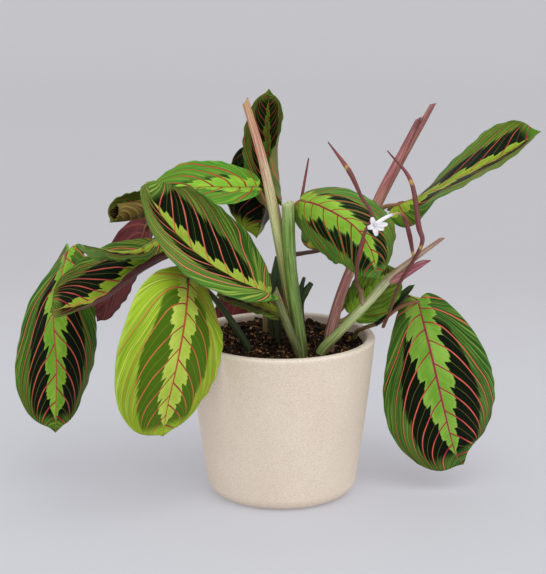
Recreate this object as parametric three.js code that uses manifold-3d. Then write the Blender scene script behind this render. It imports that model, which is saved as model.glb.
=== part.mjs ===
// A prayer plant (maranta) in a plain round stoneware pot.
// Millimetres, +Z up. The origin is the middle of the pot's base, and -Y is the front.
import * as THREE from "three";
import { mergeVertices } from "three/addons/utils/BufferGeometryUtils.js";
import Module from "manifold-3d";

const wasm = await Module();
wasm.setup();

// Driving dimensions
const GAP = 0.3; // left between two pieces that touch
const SOIL_GAP = 0.6; // between the soil and the pot's faceted wall
const POT_HEIGHT = 112.5;
const POT_RADIUS = 65; // at the rim
const POT_BASE_RADIUS = 51; // where the side would meet the ground
const POT_SWELL = 1; // how far the side bows out at half height
const POT_FOOT_ROUND = 10.6;
const POT_WALL = 6;
const POT_FLOOR = 6;
const POT_RIM_ROUND = 2;
const POT_INNER_ROUND = 8;
const AROUND = 40; // facets round the pot and the soil
const SOIL_TOP = 105;
const SOIL_RINGS = [46, 31, 16]; // radii of the rings of its top
const ROOT_LEVEL = 90; // the stems end here, inside the soil
const LEAF_THICKNESS = 0.8;
const RIB_DEPTH = 1.1; // how far the rib stands out below the blade, at its base
const STALK_RADIUS = 1.5;

// Shape of the flat blade, as shares of its length or half width
const LEAF_LOBE = 0.05; // how far the base's lobes reach back beside the stalk
const LEAF_POINT = 0.03; // the drawn-out tip
const LEAF_POWER = 2.15; // 2 is an ellipse, more is boxier
const BASE_SHARE = 0.62; // how far round the outline the base's end row goes
const TIP_SHARE = 0.55;
const RIB_STEPS = 80;

const rad = THREE.MathUtils.degToRad;
const vec = ([x, y, z]) => new THREE.Vector3(x, y, z);
const mix = (a, b, q) => a + (b - a) * q;
const route = (points) => new THREE.CatmullRomCurve3(points.map(vec), false, "catmullrom", 0.5);

// Solids

function solid(geometry) {
  const bare = geometry.clone();
  bare.deleteAttribute("normal");
  bare.deleteAttribute("uv");
  const merged = mergeVertices(bare, 1e-4);
  return new wasm.Manifold(
    new wasm.Mesh({
      numProp: 3,
      vertProperties: merged.attributes.position.array,
      triVerts: new Uint32Array(merged.index.array),
    }),
  );
}

function largest(made) {
  return made.decompose().reduce((a, b) => (b.volume() > a.volume() ? b : a));
}

function geometryOf(made) {
  const { vertProperties, triVerts } = made.getMesh();
  const geometry = new THREE.BufferGeometry();
  geometry.setAttribute("position", new THREE.BufferAttribute(vertProperties, 3));
  geometry.setIndex(new THREE.BufferAttribute(triVerts, 1));
  geometry.computeVertexNormals();
  return geometry;
}

function indexed(points, faces) {
  const geometry = new THREE.BufferGeometry();
  const flat = points.flatMap((p) => [p.x, p.y, p.z]);
  geometry.setAttribute("position", new THREE.Float32BufferAttribute(flat, 3));
  geometry.setIndex(faces);
  return geometry;
}

// A closed round stem along a route. radii are spread evenly along it, grow widens it all over, and
// lip draws its far end out to one side, as a sheath's mouth is.
function stem({ route: points, radii, sides = 6, steps = 12, lip = 0, lipAngle = 0 }, grow = 0) {
  const curve = route(points);
  const radiusAt = (q) => {
    const place = q * (radii.length - 1);
    const i = Math.min(Math.floor(place), radii.length - 2);
    return mix(radii[i], radii[i + 1], place - i) + grow;
  };
  const across = new THREE.Vector3(1, 0, 0);
  const vertices = [];
  for (let i = 0; i <= steps; i++) {
    const q = i / steps;
    const along = curve.getTangent(q);
    across.addScaledVector(along, -across.dot(along)).normalize();
    const other = along.clone().cross(across);
    const centre = curve.getPoint(q);
    if (i === 0) centre.addScaledVector(along, -grow);
    if (i === steps) centre.addScaledVector(along, grow);
    const r = radiusAt(q);
    for (let k = 0; k < sides; k++) {
      const angle = (2 * Math.PI * k) / sides;
      const drawn = i === steps ? (lip * (1 + Math.cos(angle - rad(lipAngle)))) / 2 : 0;
      vertices.push(
        centre
          .clone()
          .addScaledVector(across, r * Math.cos(angle))
          .addScaledVector(other, r * Math.sin(angle))
          .addScaledVector(along, drawn),
      );
    }
  }
  const faces = [];
  for (let i = 0; i < steps; i++)
    for (let k = 0; k < sides; k++) {
      const a = i * sides + k;
      const b = i * sides + ((k + 1) % sides);
      faces.push(a, b, b + sides, a, b + sides, a + sides);
    }
  const end = steps * sides;
  for (let k = 1; k < sides - 1; k++) faces.push(0, k + 1, k, end, end + k, end + k + 1);
  return solid(indexed(vertices, faces));
}

// Leaves

const bulge = (x) => Math.pow(Math.max(0, 1 - Math.pow(Math.abs(x), LEAF_POWER)), 1 / LEAF_POWER);

// Where a point of the flat blade lies: u runs from base to tip, t from one margin to the other.
function flatBlade(u, t, skew, lobe, tip) {
  const q = Math.abs(t);
  const h = (1 - tip + lobe) / 2;
  const middle = (1 - tip - lobe) / 2;
  const start = middle - h * bulge(BASE_SHARE * q) + lobe * Math.max(0, 1 - q / 0.5) ** 2;
  const finish = middle + h * bulge(TIP_SHARE * q) + tip * Math.max(0, 1 - q / 0.35) ** 2;
  const first = middle - h * bulge(BASE_SHARE);
  const last = middle + h * bulge(TIP_SHARE);
  const width = bulge((mix(first, last, u) - middle) / h);
  return { along: mix(start, finish, u), across: t * width * (1 + skew * (0.5 - u)) };
}

// The rib's points, directions and upward normals, carried along it without turning, then twisted.
function ribFrames({ rib, face, twist = 0 }) {
  const curve = route(rib);
  const frames = [];
  const normal = vec(face);
  let length = 0;
  for (let i = 0; i <= RIB_STEPS; i++) {
    const point = curve.getPoint(i / RIB_STEPS);
    const along = curve.getTangent(i / RIB_STEPS);
    if (i) length += point.distanceTo(frames[i - 1].point);
    normal.addScaledVector(along, -normal.dot(along)).normalize();
    frames.push({ point, along, normal: normal.clone(), at: length });
  }
  for (const f of frames) f.normal.applyAxisAngle(f.along, (rad(twist) * f.at) / length);
  return { frames, length };
}

function frameAt({ frames, length }, at) {
  const held = Math.min(Math.max(at, 0), length);
  let i = 0;
  while (i < frames.length - 2 && frames[i + 1].at < held) i++;
  const q = (held - frames[i].at) / (frames[i + 1].at - frames[i].at);
  const [a, b] = [frames[i], frames[i + 1]];
  const along = a.along.clone().lerp(b.along, q).normalize();
  const normal = a.normal.clone().lerp(b.normal, q);
  normal.addScaledVector(along, -normal.dot(along)).normalize();
  const point = a.point.clone().lerp(b.point, q).addScaledVector(along, at - held);
  return { point, along, normal, share: held / length };
}

// A point of the bent blade and the blade's normal there. Both halves leave the rib at their fold
// angle and turn by their curl angle out to the margin, in degrees towards the upper face. lap is
// extra fold near the base, and wave is the height of the margin's waves.
function bladePoint(leaf, bones, u, t) {
  const { half, skew = 0, lobe = LEAF_LOBE, wave = 0.6, waves = 3, phase = 0 } = leaf;
  const { fold, curl, foldTip = fold, curlTip = curl, lap = [0, 0], point: tip = LEAF_POINT } = leaf;
  const { along, across } = flatBlade(u, t, skew, lobe, tip);
  const f = frameAt(bones, along * bones.length);
  const side = f.normal.clone().cross(f.along);
  const k = t >= 0 ? 0 : 1;
  const sign = Math.sign(t);
  const near = Math.max(0, 1 - f.share / 0.3) ** 2;
  const start = rad(mix(fold[k], foldTip[k], f.share) + lap[k] * near);
  const turn = rad(mix(curl[k], curlTip[k], f.share)) / half || 1e-6;
  const d = Math.abs(across) * half;
  const end = start + turn * d;
  const out = (Math.sin(end) - Math.sin(start)) / turn;
  const ripple = wave * t * t * Math.sin(2 * Math.PI * (waves * u + phase) + (t > 0 ? 0 : 1.7));
  const up = (Math.cos(start) - Math.cos(end)) / turn + ripple;
  const point = f.point.clone().addScaledVector(side, out * sign).addScaledVector(f.normal, up);
  const lean = t === 0 ? 0 : Math.sin(end) * sign;
  const normal = f.normal.clone().multiplyScalar(t === 0 ? 1 : Math.cos(end));
  return { point, normal: normal.addScaledVector(side, -lean) };
}

// The blade as a closed thin solid, with both faces split into triangles alike.
function blade(leaf) {
  const { rows = 8, columns = 6, thickness = LEAF_THICKNESS, ribDepth = RIB_DEPTH } = leaf;
  const bones = ribFrames(leaf);
  const top = [];
  const bottom = [];
  for (let i = 0; i <= rows; i++)
    for (let j = 0; j <= columns; j++) {
      const u = i / rows;
      const t = (2 * j) / columns - 1;
      const { point, normal } = bladePoint(leaf, bones, u, t);
      const below = thickness / 2 + (t === 0 ? ribDepth * (1 - 0.8 * u) : 0);
      top.push(point.clone().addScaledVector(normal, thickness / 2));
      bottom.push(point.clone().addScaledVector(normal, -below));
    }
  const under = top.length;
  const at = (i, j) => i * (columns + 1) + j;
  const faces = [];
  for (let i = 0; i < rows; i++)
    for (let j = 0; j < columns; j++) {
      const [a, b, c, d] = [at(i, j), at(i, j + 1), at(i + 1, j + 1), at(i + 1, j)];
      const split = j < columns / 2 ? [a, b, c, a, c, d] : [a, b, d, b, c, d];
      for (let n = 0; n < 6; n += 3) {
        const [p, q, r] = split.slice(n, n + 3);
        faces.push(p, r, q, under + p, under + q, under + r);
      }
    }
  const edge = [];
  for (let j = 0; j < columns; j++) edge.push(at(0, j));
  for (let i = 0; i < rows; i++) edge.push(at(i, columns));
  for (let j = columns; j > 0; j--) edge.push(at(rows, j));
  for (let i = rows; i > 0; i--) edge.push(at(i, 0));
  edge.forEach((a, n) => {
    const b = edge[(n + 1) % edge.length];
    faces.push(a, b, under + b, a, under + b, under + a);
  });
  return solid(indexed([...top, ...bottom], faces));
}

// A leaf's stalk ends inside the base of its blade, just below the rib.
function stalkOf(leaf) {
  const bones = ribFrames(leaf);
  const below = (at, depth) => {
    const { point, normal } = frameAt(bones, at);
    return point.addScaledVector(normal, -depth).toArray();
  };
  const { stalk, stalkRadii = [1.8, STALK_RADIUS, STALK_RADIUS], stalkSteps = 10 } = leaf;
  const points = [...stalk, below(0, 0.9), below(9, 0.7)];
  return { route: points, radii: [...stalkRadii, 0.7], steps: stalkSteps };
}

const leaves = {
  leaf_far_left: {
    rib: [[-146, -12, 175], [-151, -18, 156], [-156, -22, 131], [-155, -22, 97], [-158, -14, 45]],
    half: 32.5,
    face: [-0.4, -0.8, 0.4],
    twist: -73,
    fold: [12, -46],
    curl: [-64, 8],
    skew: -0.3,
    stalk: [[-58, -12, 190], [-68, -10, 187], [-78, -15, 182], [-104, -16, 174], [-128, -13, 174]],
    stalkSteps: 14,
  },
  leaf_left_folded: {
    rib: [[-75, -34, 178], [-97, -44, 167], [-121, -54, 153], [-140, -58, 148], [-154, -58, 144]],
    half: 33,
    face: [-0.1, -0.2, 1],
    twist: -25,
    fold: [22, 22],
    curl: [46, -8],
    stalk: [[-50, -9, 185], [-60, -22, 185]],
  },
  leaf_left_purple: {
    rib: [[-91, 4, 190], [-102, 8, 168], [-115, 10, 143], [-129, 6, 120]],
    half: 23,
    face: [0.5, 0.6, -0.6],
    twist: -7,
    fold: [-4, -15],
    curl: [-17, -11],
    stalk: [[-52, -10, 187], [-60, 4, 187], [-76, 8, 191]],
  },
  leaf_left_pale: {
    rib: [[-81, -42, 191], [-94, -48, 185], [-108, -52, 184], [-122, -52, 186], [-136, -50, 188]],
    half: 14,
    face: [0, -0.2, 1],
    twist: 55,
    fold: [-25, -25],
    curl: [0, 0],
    wave: 1.5,
    stalk: [[-45, -8, 182], [-58, -26, 194], [-70, -36, 195]],
  },
  leaf_front_large: {
    rib: [[-10, -28, 147], [-37, -47, 166], [-62, -62, 190], [-82, -74, 219], [-87, -72, 234]],
    half: 36.5,
    face: [0.1, -0.5, 0.9],
    twist: -45,
    fold: [54, 7],
    curl: [-60, 82],
    skew: -0.12,
    point: 0,
    columns: 8,
    stalk: [[9, -21, 130], [-1, -24, 139]],
  },
  leaf_scrolled: {
    rib: [[-78, 6, 199], [-92, -10, 199], [-104, -28, 200], [-114, -44, 202]],
    half: 25,
    face: [0, 0, 1],
    fold: [20, 20],
    curl: [250, 150],
    point: 0.06,
    columns: 12,
    rows: 6,
    wave: 0,
    stalk: [[-40, -6, 178], [-46, 4, 190], [-62, 10, 199]],
  },
  leaf_bright_back: {
    rib: [[-17, -2, 217], [-38, -6, 218], [-62, -10, 218], [-89, -14, 211]],
    half: 25,
    face: [0, -0.4, 0.9],
    twist: -3,
    fold: [20, 10],
    curl: [-26, 2],
    stalk: [[-4, -18, 196], [-6, -14, 200], [-12, -4, 208]],
  },
  leaf_dark_back: {
    rib: [[-22, 30, 239], [-14, 32, 219], [-11, 32, 198], [-18, 28, 175]],
    half: 29,
    face: [0, -1, 0.1],
    fold: [-82, 0],
    curl: [10, 10],
    skew: -0.3,
    wave: 1.2,
    stalk: [[15, 8, 90], [13, 12, 120], [4, 24, 160], [-8, 34, 205], [-18, 36, 232]],
    stalkSteps: 16,
  },
  leaf_upright: {
    rib: [[-4, 26, 202], [-8, 27, 228], [-10, 25, 249], [-9, 14, 282]],
    half: 24,
    face: [0, -1, 0],
    fold: [20, 30],
    curl: [42, 170],
    curlTip: [45, 45],
    columns: 8,
    stalk: [[10, 0, 90], [10, 0, 105], [7, 3, 144], [2, 12, 175]],
    stalkSteps: 14,
  },
  leaf_right_middle: {
    rib: [[12, -16, 211], [25, -34, 211], [46, -56, 203], [58, -66, 188], [63, -63, 167]],
    half: 33.5,
    face: [0, -0.9, 0.5],
    twist: -23,
    fold: [-18, -20],
    curl: [-24, -62],
    stalk: [[15, -12, 90], [12, -13, 125], [8, -14, 176], [8, -15, 203]],
    stalkSteps: 14,
  },
  leaf_upper_right: {
    rib: [[79, -2, 206], [98, -4, 213], [125, -8, 228], [152, -12, 243], [173, -14, 258]],
    half: 36,
    face: [-0.48, 0.02, 0.87],
    twist: 16,
    fold: [-10, -2],
    foldTip: [24, 20],
    skew: -0.35,
    curl: [0, 0],
    lap: [-20, -60],
    lobe: 0.1,
    stalk: [[60, 6, 186], [64, 2, 196], [70, 0, 203]],
  },
  leaf_under_stalk: {
    rib: [[48, -6, 129], [58, -8, 140], [69, -10, 152], [79, -8, 162]],
    half: 18,
    face: [-0.3, -0.8, 0.5],
    fold: [0, 0],
    curl: [-10, -10],
    wave: 1.5,
    stalk: [[36, -10, 124], [42, -9, 125]],
  },
  leaf_right_hanging: {
    rib: [[94, -8, 138], [103, -18, 103], [110, -20, 74], [121, -12, 32], [128, -8, 20]],
    half: 41.8,
    face: [-0.2, -0.9, 0.3],
    twist: -36,
    fold: [6, -21],
    curl: [-33, -23],
    skew: -0.47,
    stalk: [[51, 18, 90], [52, 14, 109], [57, 4, 116], [68, -2, 122], [80, -6, 133]],
    stalkSteps: 14,
    sheath: {
      rib: [[66, -3, 121], [75, -6, 132], [84, -9, 142], [91, -10, 151]],
      half: 5,
      face: [-0.5, -0.8, 0.3],
      fold: [10, 35],
      curl: [30, 30],
      rows: 6,
      columns: 2,
      ribDepth: 0.4,
      wave: 0.2,
    },
  },
  leaf_front_light: {
    rib: [[-61, -67, 169], [-63, -83, 145], [-69, -87, 113], [-75, -83, 87], [-79, -75, 63]],
    half: 45,
    face: [0.6, -0.7, 0.3],
    twist: 13,
    fold: [-16, 25],
    curl: [-14, -56],
    skew: 0.08,
    columns: 8,
    stalk: [[-19, -9, 90], [-23, -11, 105], [-32, -15, 122], [-41, -20, 137], [-51, -34, 153]],
    stalkRadii: [2.6, 2.6, 2.2, 1.7],
    stalkSteps: 12,
  },
  leaf_low_small: {
    rib: [[-1, -16, 131], [-18, -24, 141], [-34, -32, 148], [-44, -38, 150]],
    half: 16,
    face: [0.1, -0.4, 0.9],
    fold: [10, 10],
    curl: [0, 0],
    stalk: [[10, -21, 118], [4, -17, 126]],
  },
  leaf_rear_middle: {
    rib: [[27, 0, 174], [38, 16, 184], [46, 36, 188], [52, 56, 182], [56, 70, 168]],
    half: 30,
    face: [0, 0, 1],
    fold: [12, 12],
    curl: [-30, -30],
    stalk: [[8, -10, 172], [16, -5, 172]],
  },
  leaf_rear_pot: {
    rib: [[-18, 74, 138], [-20, 92, 122], [-22, 102, 90], [-22, 104, 56], [-20, 100, 28]],
    half: 34,
    face: [0, 0.4, 0.9],
    fold: [-8, -8],
    curl: [-30, -30],
    stalk: [[-12, 22, 90], [-12, 28, 118], [-14, 42, 136], [-16, 60, 143]],
    stalkSteps: 14,
  },
  leaf_rear_right: {
    rib: [[90, 45, 130], [106, 60, 120], [118, 74, 96], [124, 80, 62]],
    half: 28,
    face: [0.3, 0.3, 0.9],
    fold: [-8, -8],
    curl: [-30, -30],
    stalk: [[30, 25, 90], [34, 28, 112], [52, 36, 130], [74, 40, 136]],
    stalkSteps: 14,
  },
};

const shoots = {
  shoot_tall: [
    {
      route: [[14, -21, 90], [13, -21, 104], [5, -20, 149], [-5, -18, 201], [-13, -15, 238], [-24, -12, 276]],
      radii: [4.5, 4.5, 4, 3.2, 2.4],
      sides: 8,
      steps: 12,
      lip: 4,
    },
    {
      route: [[14, -26, 90], [14, -26, 109], [12, -26, 123], [8, -25, 151], [5, -24, 178], [4, -22, 210]],
      radii: [3.4, 3.8, 4.2, 4.2],
      sides: 8,
      steps: 9,
      lip: 1.5,
    },
    {
      route: [[12, -26, 90], [12, -27, 106], [4, -29, 127], [-4, -31, 149]],
      radii: [3.4, 3.2, 2.6],
      steps: 6,
      lip: 5,
    },
  ],
  shoot_left: [
    {
      route: [[-2, 13, 90], [-3, 12, 100], [-8, 8, 130], [-22, 0, 160], [-45, -8, 182], [-58, -12, 190]],
      radii: [4.5, 4.2, 3.6, 2.8],
      steps: 12,
    },
  ],
  shoot_pink: [
    {
      route: [[31, -13, 90], [32, -12, 105], [36, -9, 127], [46, -2, 156], [68, 11, 206], [103, 20, 270]],
      radii: [4, 4, 3.6, 3.2, 1.8],
      sides: 8,
      steps: 12,
      lip: 3,
    },
    {
      route: [[46, -2, 156], [67, 11, 206], [79, 14, 230], [93, 17, 260]],
      radii: [3.4, 3.8, 3.4, 1.6],
      sides: 8,
      steps: 8,
      lip: 4,
    },
  ],
  shoot_flowering: [
    {
      route: [[24, -19, 90], [27, -21, 106], [37, -25, 119], [60, -32, 146], [75, -38, 165], [105, -44, 190]],
      radii: [3.4, 3.4, 3, 3, 1.2],
      sides: 8,
      steps: 14,
      lip: 3,
    },
    {
      route: [[70, -36, 159], [78, -40, 163], [92, -43, 173], [99, -44, 176]],
      radii: [1.5, 3, 2.4, 0.4],
      steps: 5,
    },
  ],
};

const stalks = {
  bract_stalk_left: [
    {
      route: [
        [55, -31, 141], [53, -42, 153], [49, -62, 166], [49, -74, 182], [53, -77, 201], [58, -76, 213],
        [51, -72, 225], [43, -68, 241], [30, -54, 257],
      ],
      radii: [1.3, 1.1, 1.1, 1.1, 1.1, 1.1, 1.1, 1.8, 0.4],
      steps: 18,
    },
  ],
  bract_thin: [
    {
      route: [[-1, -19, 184], [6, -9, 195], [12, -6, 205], [16, -6, 226], [18, -6, 238]],
      radii: [1.4, 1.2, 0.5],
      steps: 6,
    },
  ],
  flower_stalks: [
    {
      route: [
        [70, -10, 121], [73, -26, 135], [79, -42, 160], [92, -52, 188], [90, -50, 201], [85, -40, 229],
        [70, -28, 247],
      ],
      radii: [1.3, 1, 1.1, 1.4, 1.9, 1.5, 0.4],
      steps: 18,
    },
    {
      route: [[87, -50, 180], [84, -54, 195], [81, -58, 205], [77, -65, 212], [71, -73, 213]],
      radii: [1, 1.7, 1.4, 0.9, 0.8],
      steps: 8,
    },
  ],
  small_dark_shoot: [
    {
      route: [[16, 0, 90], [14, 2, 118], [13, 2, 134], [16, 2, 142], [20.5, 2, 149]],
      radii: [1.6, 1.8, 2, 2.2, 1.4],
      steps: 10,
    },
    { route: [[13, 2, 132], [13, 2, 143], [15.5, 2, 153]], radii: [1.7, 1.7, 0.9], steps: 5 },
  ],
  small_curled_leaf: [
    {
      route: [[-2, -3, 90], [-3, 0, 130], [-4, 0, 152], [-4, 2, 168]],
      radii: [1.3, 1.8, 3.4, 0.6],
      steps: 9,
    },
  ],
};

// Pot and soil

const sideRadius = (z) => {
  const q = z / POT_HEIGHT;
  return mix(POT_BASE_RADIUS, POT_RADIUS, q) + POT_SWELL * 4 * q * (1 - q);
};

const arc = (x, y, r, from, to, steps) =>
  Array.from({ length: steps + 1 }, (_, i) => {
    const angle = rad(mix(from, to, i / steps));
    return new THREE.Vector2(x + r * Math.cos(angle), y + r * Math.sin(angle));
  });

function lathe(profile) {
  return solid(new THREE.LatheGeometry(profile, AROUND).rotateX(Math.PI / 2));
}

function pot() {
  const lean = THREE.MathUtils.radToDeg(Math.atan2(sideRadius(20) - sideRadius(0), 20));
  const flat = POT_BASE_RADIUS - POT_FOOT_ROUND / Math.tan(rad((90 + lean) / 2));
  const inner = (z) => new THREE.Vector2(sideRadius(z) - POT_WALL, z);
  const rim = POT_HEIGHT - POT_RIM_ROUND;
  const innerFoot = sideRadius(POT_FLOOR) - POT_WALL - POT_INNER_ROUND;
  const profile = [
    new THREE.Vector2(0, 0),
    ...arc(flat, POT_FOOT_ROUND, POT_FOOT_ROUND, -90, -lean, 4),
    ...[0.3, 0.55, 0.8].map((q) => new THREE.Vector2(sideRadius(q * POT_HEIGHT), q * POT_HEIGHT)),
    ...arc(POT_RADIUS - POT_RIM_ROUND, rim, POT_RIM_ROUND, 0, 90, 2),
    ...arc(POT_RADIUS - POT_WALL + POT_RIM_ROUND, rim, POT_RIM_ROUND, 90, 180, 2),
    ...[0.6, 0.3].map((q) => inner(q * POT_HEIGHT)),
    ...arc(innerFoot, POT_FLOOR + POT_INNER_ROUND, POT_INNER_ROUND, -lean, -90, 2),
    new THREE.Vector2(0, POT_FLOOR),
  ];
  return lathe(profile);
}

const soilHeight = (x, y) =>
  SOIL_TOP +
  0.05 * y -
  0.03 * x +
  0.9 * Math.sin(0.21 * x + 1) * Math.cos(0.17 * y) +
  0.5 * Math.sin(0.37 * y - 0.2 * x);

function soil(holes) {
  const wall = (z) => new THREE.Vector2(sideRadius(z) - POT_WALL - SOIL_GAP, z);
  const round = POT_INNER_ROUND;
  const foot = sideRadius(POT_FLOOR) - POT_WALL - round - GAP;
  const profile = [
    new THREE.Vector2(0, POT_FLOOR + GAP),
    ...arc(foot, POT_FLOOR + GAP + round, round, -90, -8, 2),
    ...[0.3, 0.6].map((q) => wall(q * POT_HEIGHT)),
    wall(SOIL_TOP),
    ...SOIL_RINGS.map((r) => new THREE.Vector2(r, SOIL_TOP)),
    new THREE.Vector2(0, SOIL_TOP),
  ];
  const geometry = new THREE.LatheGeometry(profile, AROUND).rotateX(Math.PI / 2);
  const places = geometry.attributes.position;
  for (let i = 0; i < places.count; i++)
    if (places.getZ(i) > SOIL_TOP - 1) places.setZ(i, soilHeight(places.getX(i), places.getY(i)));
  return largest(holes.reduce((left, hole) => left.subtract(hole), solid(geometry)));
}

// Flower: three petals at the end of its tube, and two of an older flower beside it

const FLOWER = [59, -83, 208];
const TUBE = { route: [[71, -73, 213], [66, -79, 212], FLOWER], radii: [1, 1.2, 1.6], steps: 4 };
const PETALS = [[105, 6], [200, 4.5], [285, 7], [8, 9], [340, 7]]; // angles and lengths
const PETAL_HALF = 1.9;

function petal([angle, length]) {
  const [x, y, z] = FLOWER;
  const [dx, dz] = [Math.cos(rad(angle)) * length, Math.sin(rad(angle)) * length];
  return blade({
    rib: [FLOWER, [x + dx / 2, y - 1.5, z + dz / 2], [x + dx, y - 1, z + dz]],
    half: PETAL_HALF,
    face: [0, -1, 0],
    fold: [8, 8],
    curl: [20, 20],
    rows: 3,
    columns: 2,
    ribDepth: 0,
    wave: 0.2,
  });
}

const flower = () => PETALS.map(petal).reduce((a, b) => a.add(b), stem(TUBE));

// Putting it together

const COLOURS = {
  pot: 0xddcfc0,
  soil: 0x2b1d14,
  flower_white: 0xf4f2f2,
  shoot_tall: 0x8fae5a,
  shoot_left: 0x6d8f3f,
  shoot_pink: 0x8a4a52,
  shoot_flowering: 0x9db566,
  bract_stalk_left: 0x6e3440,
  bract_thin: 0x74363f,
  flower_stalks: 0x6e3440,
  small_dark_shoot: 0x2c4a1f,
  small_curled_leaf: 0x27401f,
};
const LEAF_COLOUR = 0x3f7332;
const LIGHT_LEAF_COLOUR = 0x8fb83a;
const LIGHT_LEAVES = ["leaf_front_light", "leaf_bright_back", "leaf_low_small"];

const plant = new THREE.Group();

function addNode(name, made) {
  const material = new THREE.MeshStandardMaterial({
    color: COLOURS[name] ?? (LIGHT_LEAVES.includes(name) ? LIGHT_LEAF_COLOUR : LEAF_COLOUR),
    roughness: name === "pot" ? 0.75 : name === "soil" ? 0.95 : 0.45,
    metalness: 0,
  });
  const mesh = new THREE.Mesh(geometryOf(made), material);
  mesh.name = name;
  plant.add(mesh);
}

const bladesOf = (leaf) => (leaf.sheath ? blade(leaf).add(blade(leaf.sheath)) : blade(leaf));
const joined = (stems, grow = 0) => stems.map((s) => stem(s, grow)).reduce((a, b) => a.add(b));
const cut = (made, holes) => largest(holes.reduce((left, hole) => left.subtract(hole), made));

const shootHoles = Object.values(shoots).map((stems) => joined(stems, GAP));
const rooted = (stems) => stems.filter((s) => s.route[0][2] <= ROOT_LEVEL);
const leafStalks = Object.values(leaves).map(stalkOf);
const soilHoles = [...Object.values(shoots), ...Object.values(stalks), leafStalks]
  .flatMap(rooted)
  .map((s) => stem(s, GAP));

addNode("pot", pot());
addNode("soil", soil(soilHoles));
for (const [name, stems] of Object.entries(shoots)) addNode(name, joined(stems));
for (const [name, leaf] of Object.entries(leaves))
  addNode(name, cut(bladesOf(leaf).add(stem(stalkOf(leaf))), shootHoles));
const stalkHoles = [...shootHoles, stem(TUBE, GAP)];
for (const [name, stems] of Object.entries(stalks)) addNode(name, cut(joined(stems), stalkHoles));
addNode("flower_white", flower());

export default plant;
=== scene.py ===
"""A prayer plant (maranta) in a plain round stoneware pot: the finish of every piece, and the stage."""

import math

import bpy
import numpy as np
from bpy.props import FloatProperty, FloatVectorProperty, IntProperty, PointerProperty
from bpy.types import Operator, Panel, PropertyGroup
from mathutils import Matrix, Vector


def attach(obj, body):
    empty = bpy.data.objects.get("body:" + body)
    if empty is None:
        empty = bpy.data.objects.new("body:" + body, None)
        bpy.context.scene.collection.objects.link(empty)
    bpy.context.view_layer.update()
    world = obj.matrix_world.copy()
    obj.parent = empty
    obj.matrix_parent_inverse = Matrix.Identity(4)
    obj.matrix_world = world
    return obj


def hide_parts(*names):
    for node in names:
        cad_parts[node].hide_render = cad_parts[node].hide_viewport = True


bl_info = {
    "name": "Potted prayer plant",
    "version": (1, 0, 0),
    "blender": (4, 5, 0),
    "location": "View3D > Sidebar > Plant",
    "description": "Leaves, stems, flower, soil and pot of a potted prayer plant",
    "category": "Object",
}

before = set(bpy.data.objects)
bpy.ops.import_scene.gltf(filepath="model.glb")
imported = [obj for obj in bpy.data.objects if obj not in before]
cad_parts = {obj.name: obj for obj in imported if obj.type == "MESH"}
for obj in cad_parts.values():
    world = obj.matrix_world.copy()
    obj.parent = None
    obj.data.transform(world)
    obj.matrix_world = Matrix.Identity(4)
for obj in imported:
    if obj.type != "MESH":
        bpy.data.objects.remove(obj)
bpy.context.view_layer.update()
MM = 0.001


def tint(red, green, blue):
    """A colour given as the eye sees it, 0 to 255, as the linear values that Blender uses."""
    part = [c / 255 for c in (red, green, blue)]
    return tuple(c / 12.92 if c <= 0.04045 else ((c + 0.055) / 1.055) ** 2.4 for c in part)


# Sizes in millimetres, as the frame has them
POT_HEIGHT = 112.5
POT_RADIUS = 65
POT_BASE_RADIUS = 51
POT_SWELL = 1
POT_FOOT_ROUND = 10.6
POT_WALL = 6
POT_FLOOR = 6
POT_RIM_ROUND = 2
POT_INNER_ROUND = 8
RIM_HIGHLIGHT_START = 0.1085  # in metres: where the rim's painted highlight begins, and where it is full
RIM_HIGHLIGHT_FULL = 0.1122
SOIL_TOP = 105
SOIL_GAP = 0.5  # between the soil's side and the pot
SOIL_LIFT = 0.3  # between the soil and the pot's floor
SOIL_STEPS = 60
SOIL_SIDES = 96
SCATTER = dict(  # how far out the grains lie, their sizes in metres, and how far they turn
    crumbs=(57.5, (0.0006, 0.0015), (6.28, 6.28, 6.28)),
    lumps=(55.5, (0.0017, 0.0034), (6.28, 6.28, 6.28)),
    fibres=(54, (0.004, 0.011), (0.5, 0.5, 6.28)),
)
STALK_RADII = (1.8, 1.5, 1.5)
STALK_END = 0.7
STALK_REACH = 9.0  # how far a leaf's stalk runs on under the rib
STALK_SINK = (0.9, 0.7)  # how far below the rib it lies at the blade's base and at its own end
STEM_RIDGE = 0.035  # three broad ridges and seven fine ribs round a stem, as shares of its radius
STEM_RIB = 0.03
PALE_STREAK = 1.4  # how much paler a stem's pale streaks are than its middle
TUBE_SIDES = 14
MOUTH_RINGS = ((0.1, 0.6), (0.35, 1.0), (1.0, 1.15))  # depth and draw of the rings inside a torn mouth

# Shape of the flat blade, as shares of its length or half width
LEAF_LOBE = 0.05
LEAF_POINT = 0.03  # the drawn-out tip of a leaf that names none of its own
LEAF_POWER = 2.15
BASE_SHARE = 0.62
TIP_SHARE = 0.55

# How a blade is bent and raised, its wave and widths in millimetres
LEAF_WAVE = 0.6
RIB_STEPS = 80
EVEN_ROUNDS = 40
COLUMN_SPREAD = 1.25  # the steps across a blade lie closer together near the rib
RIB_WIDTH = 1.0
GROOVE_WIDTH = 1.1
RUFFLE_WAVES = 7.3

# How the side veins run: their lean at the rib, which grows along it, and their bend, which those
# that begin nearest the stalk have less of
VEIN_LEAST = 0.06
VEIN_LEAN = 2.0
VEIN_FIRST = 0.135
VEIN_STIFF = 0.09
VEIN_SPREAD = 0.85
VEIN_CROWD = 0.16  # near the stalk they begin closer together
VEIN_ROUNDS = 40  # halvings that find where a side vein begins
SPAN_RANGE = (25, 260)

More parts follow.
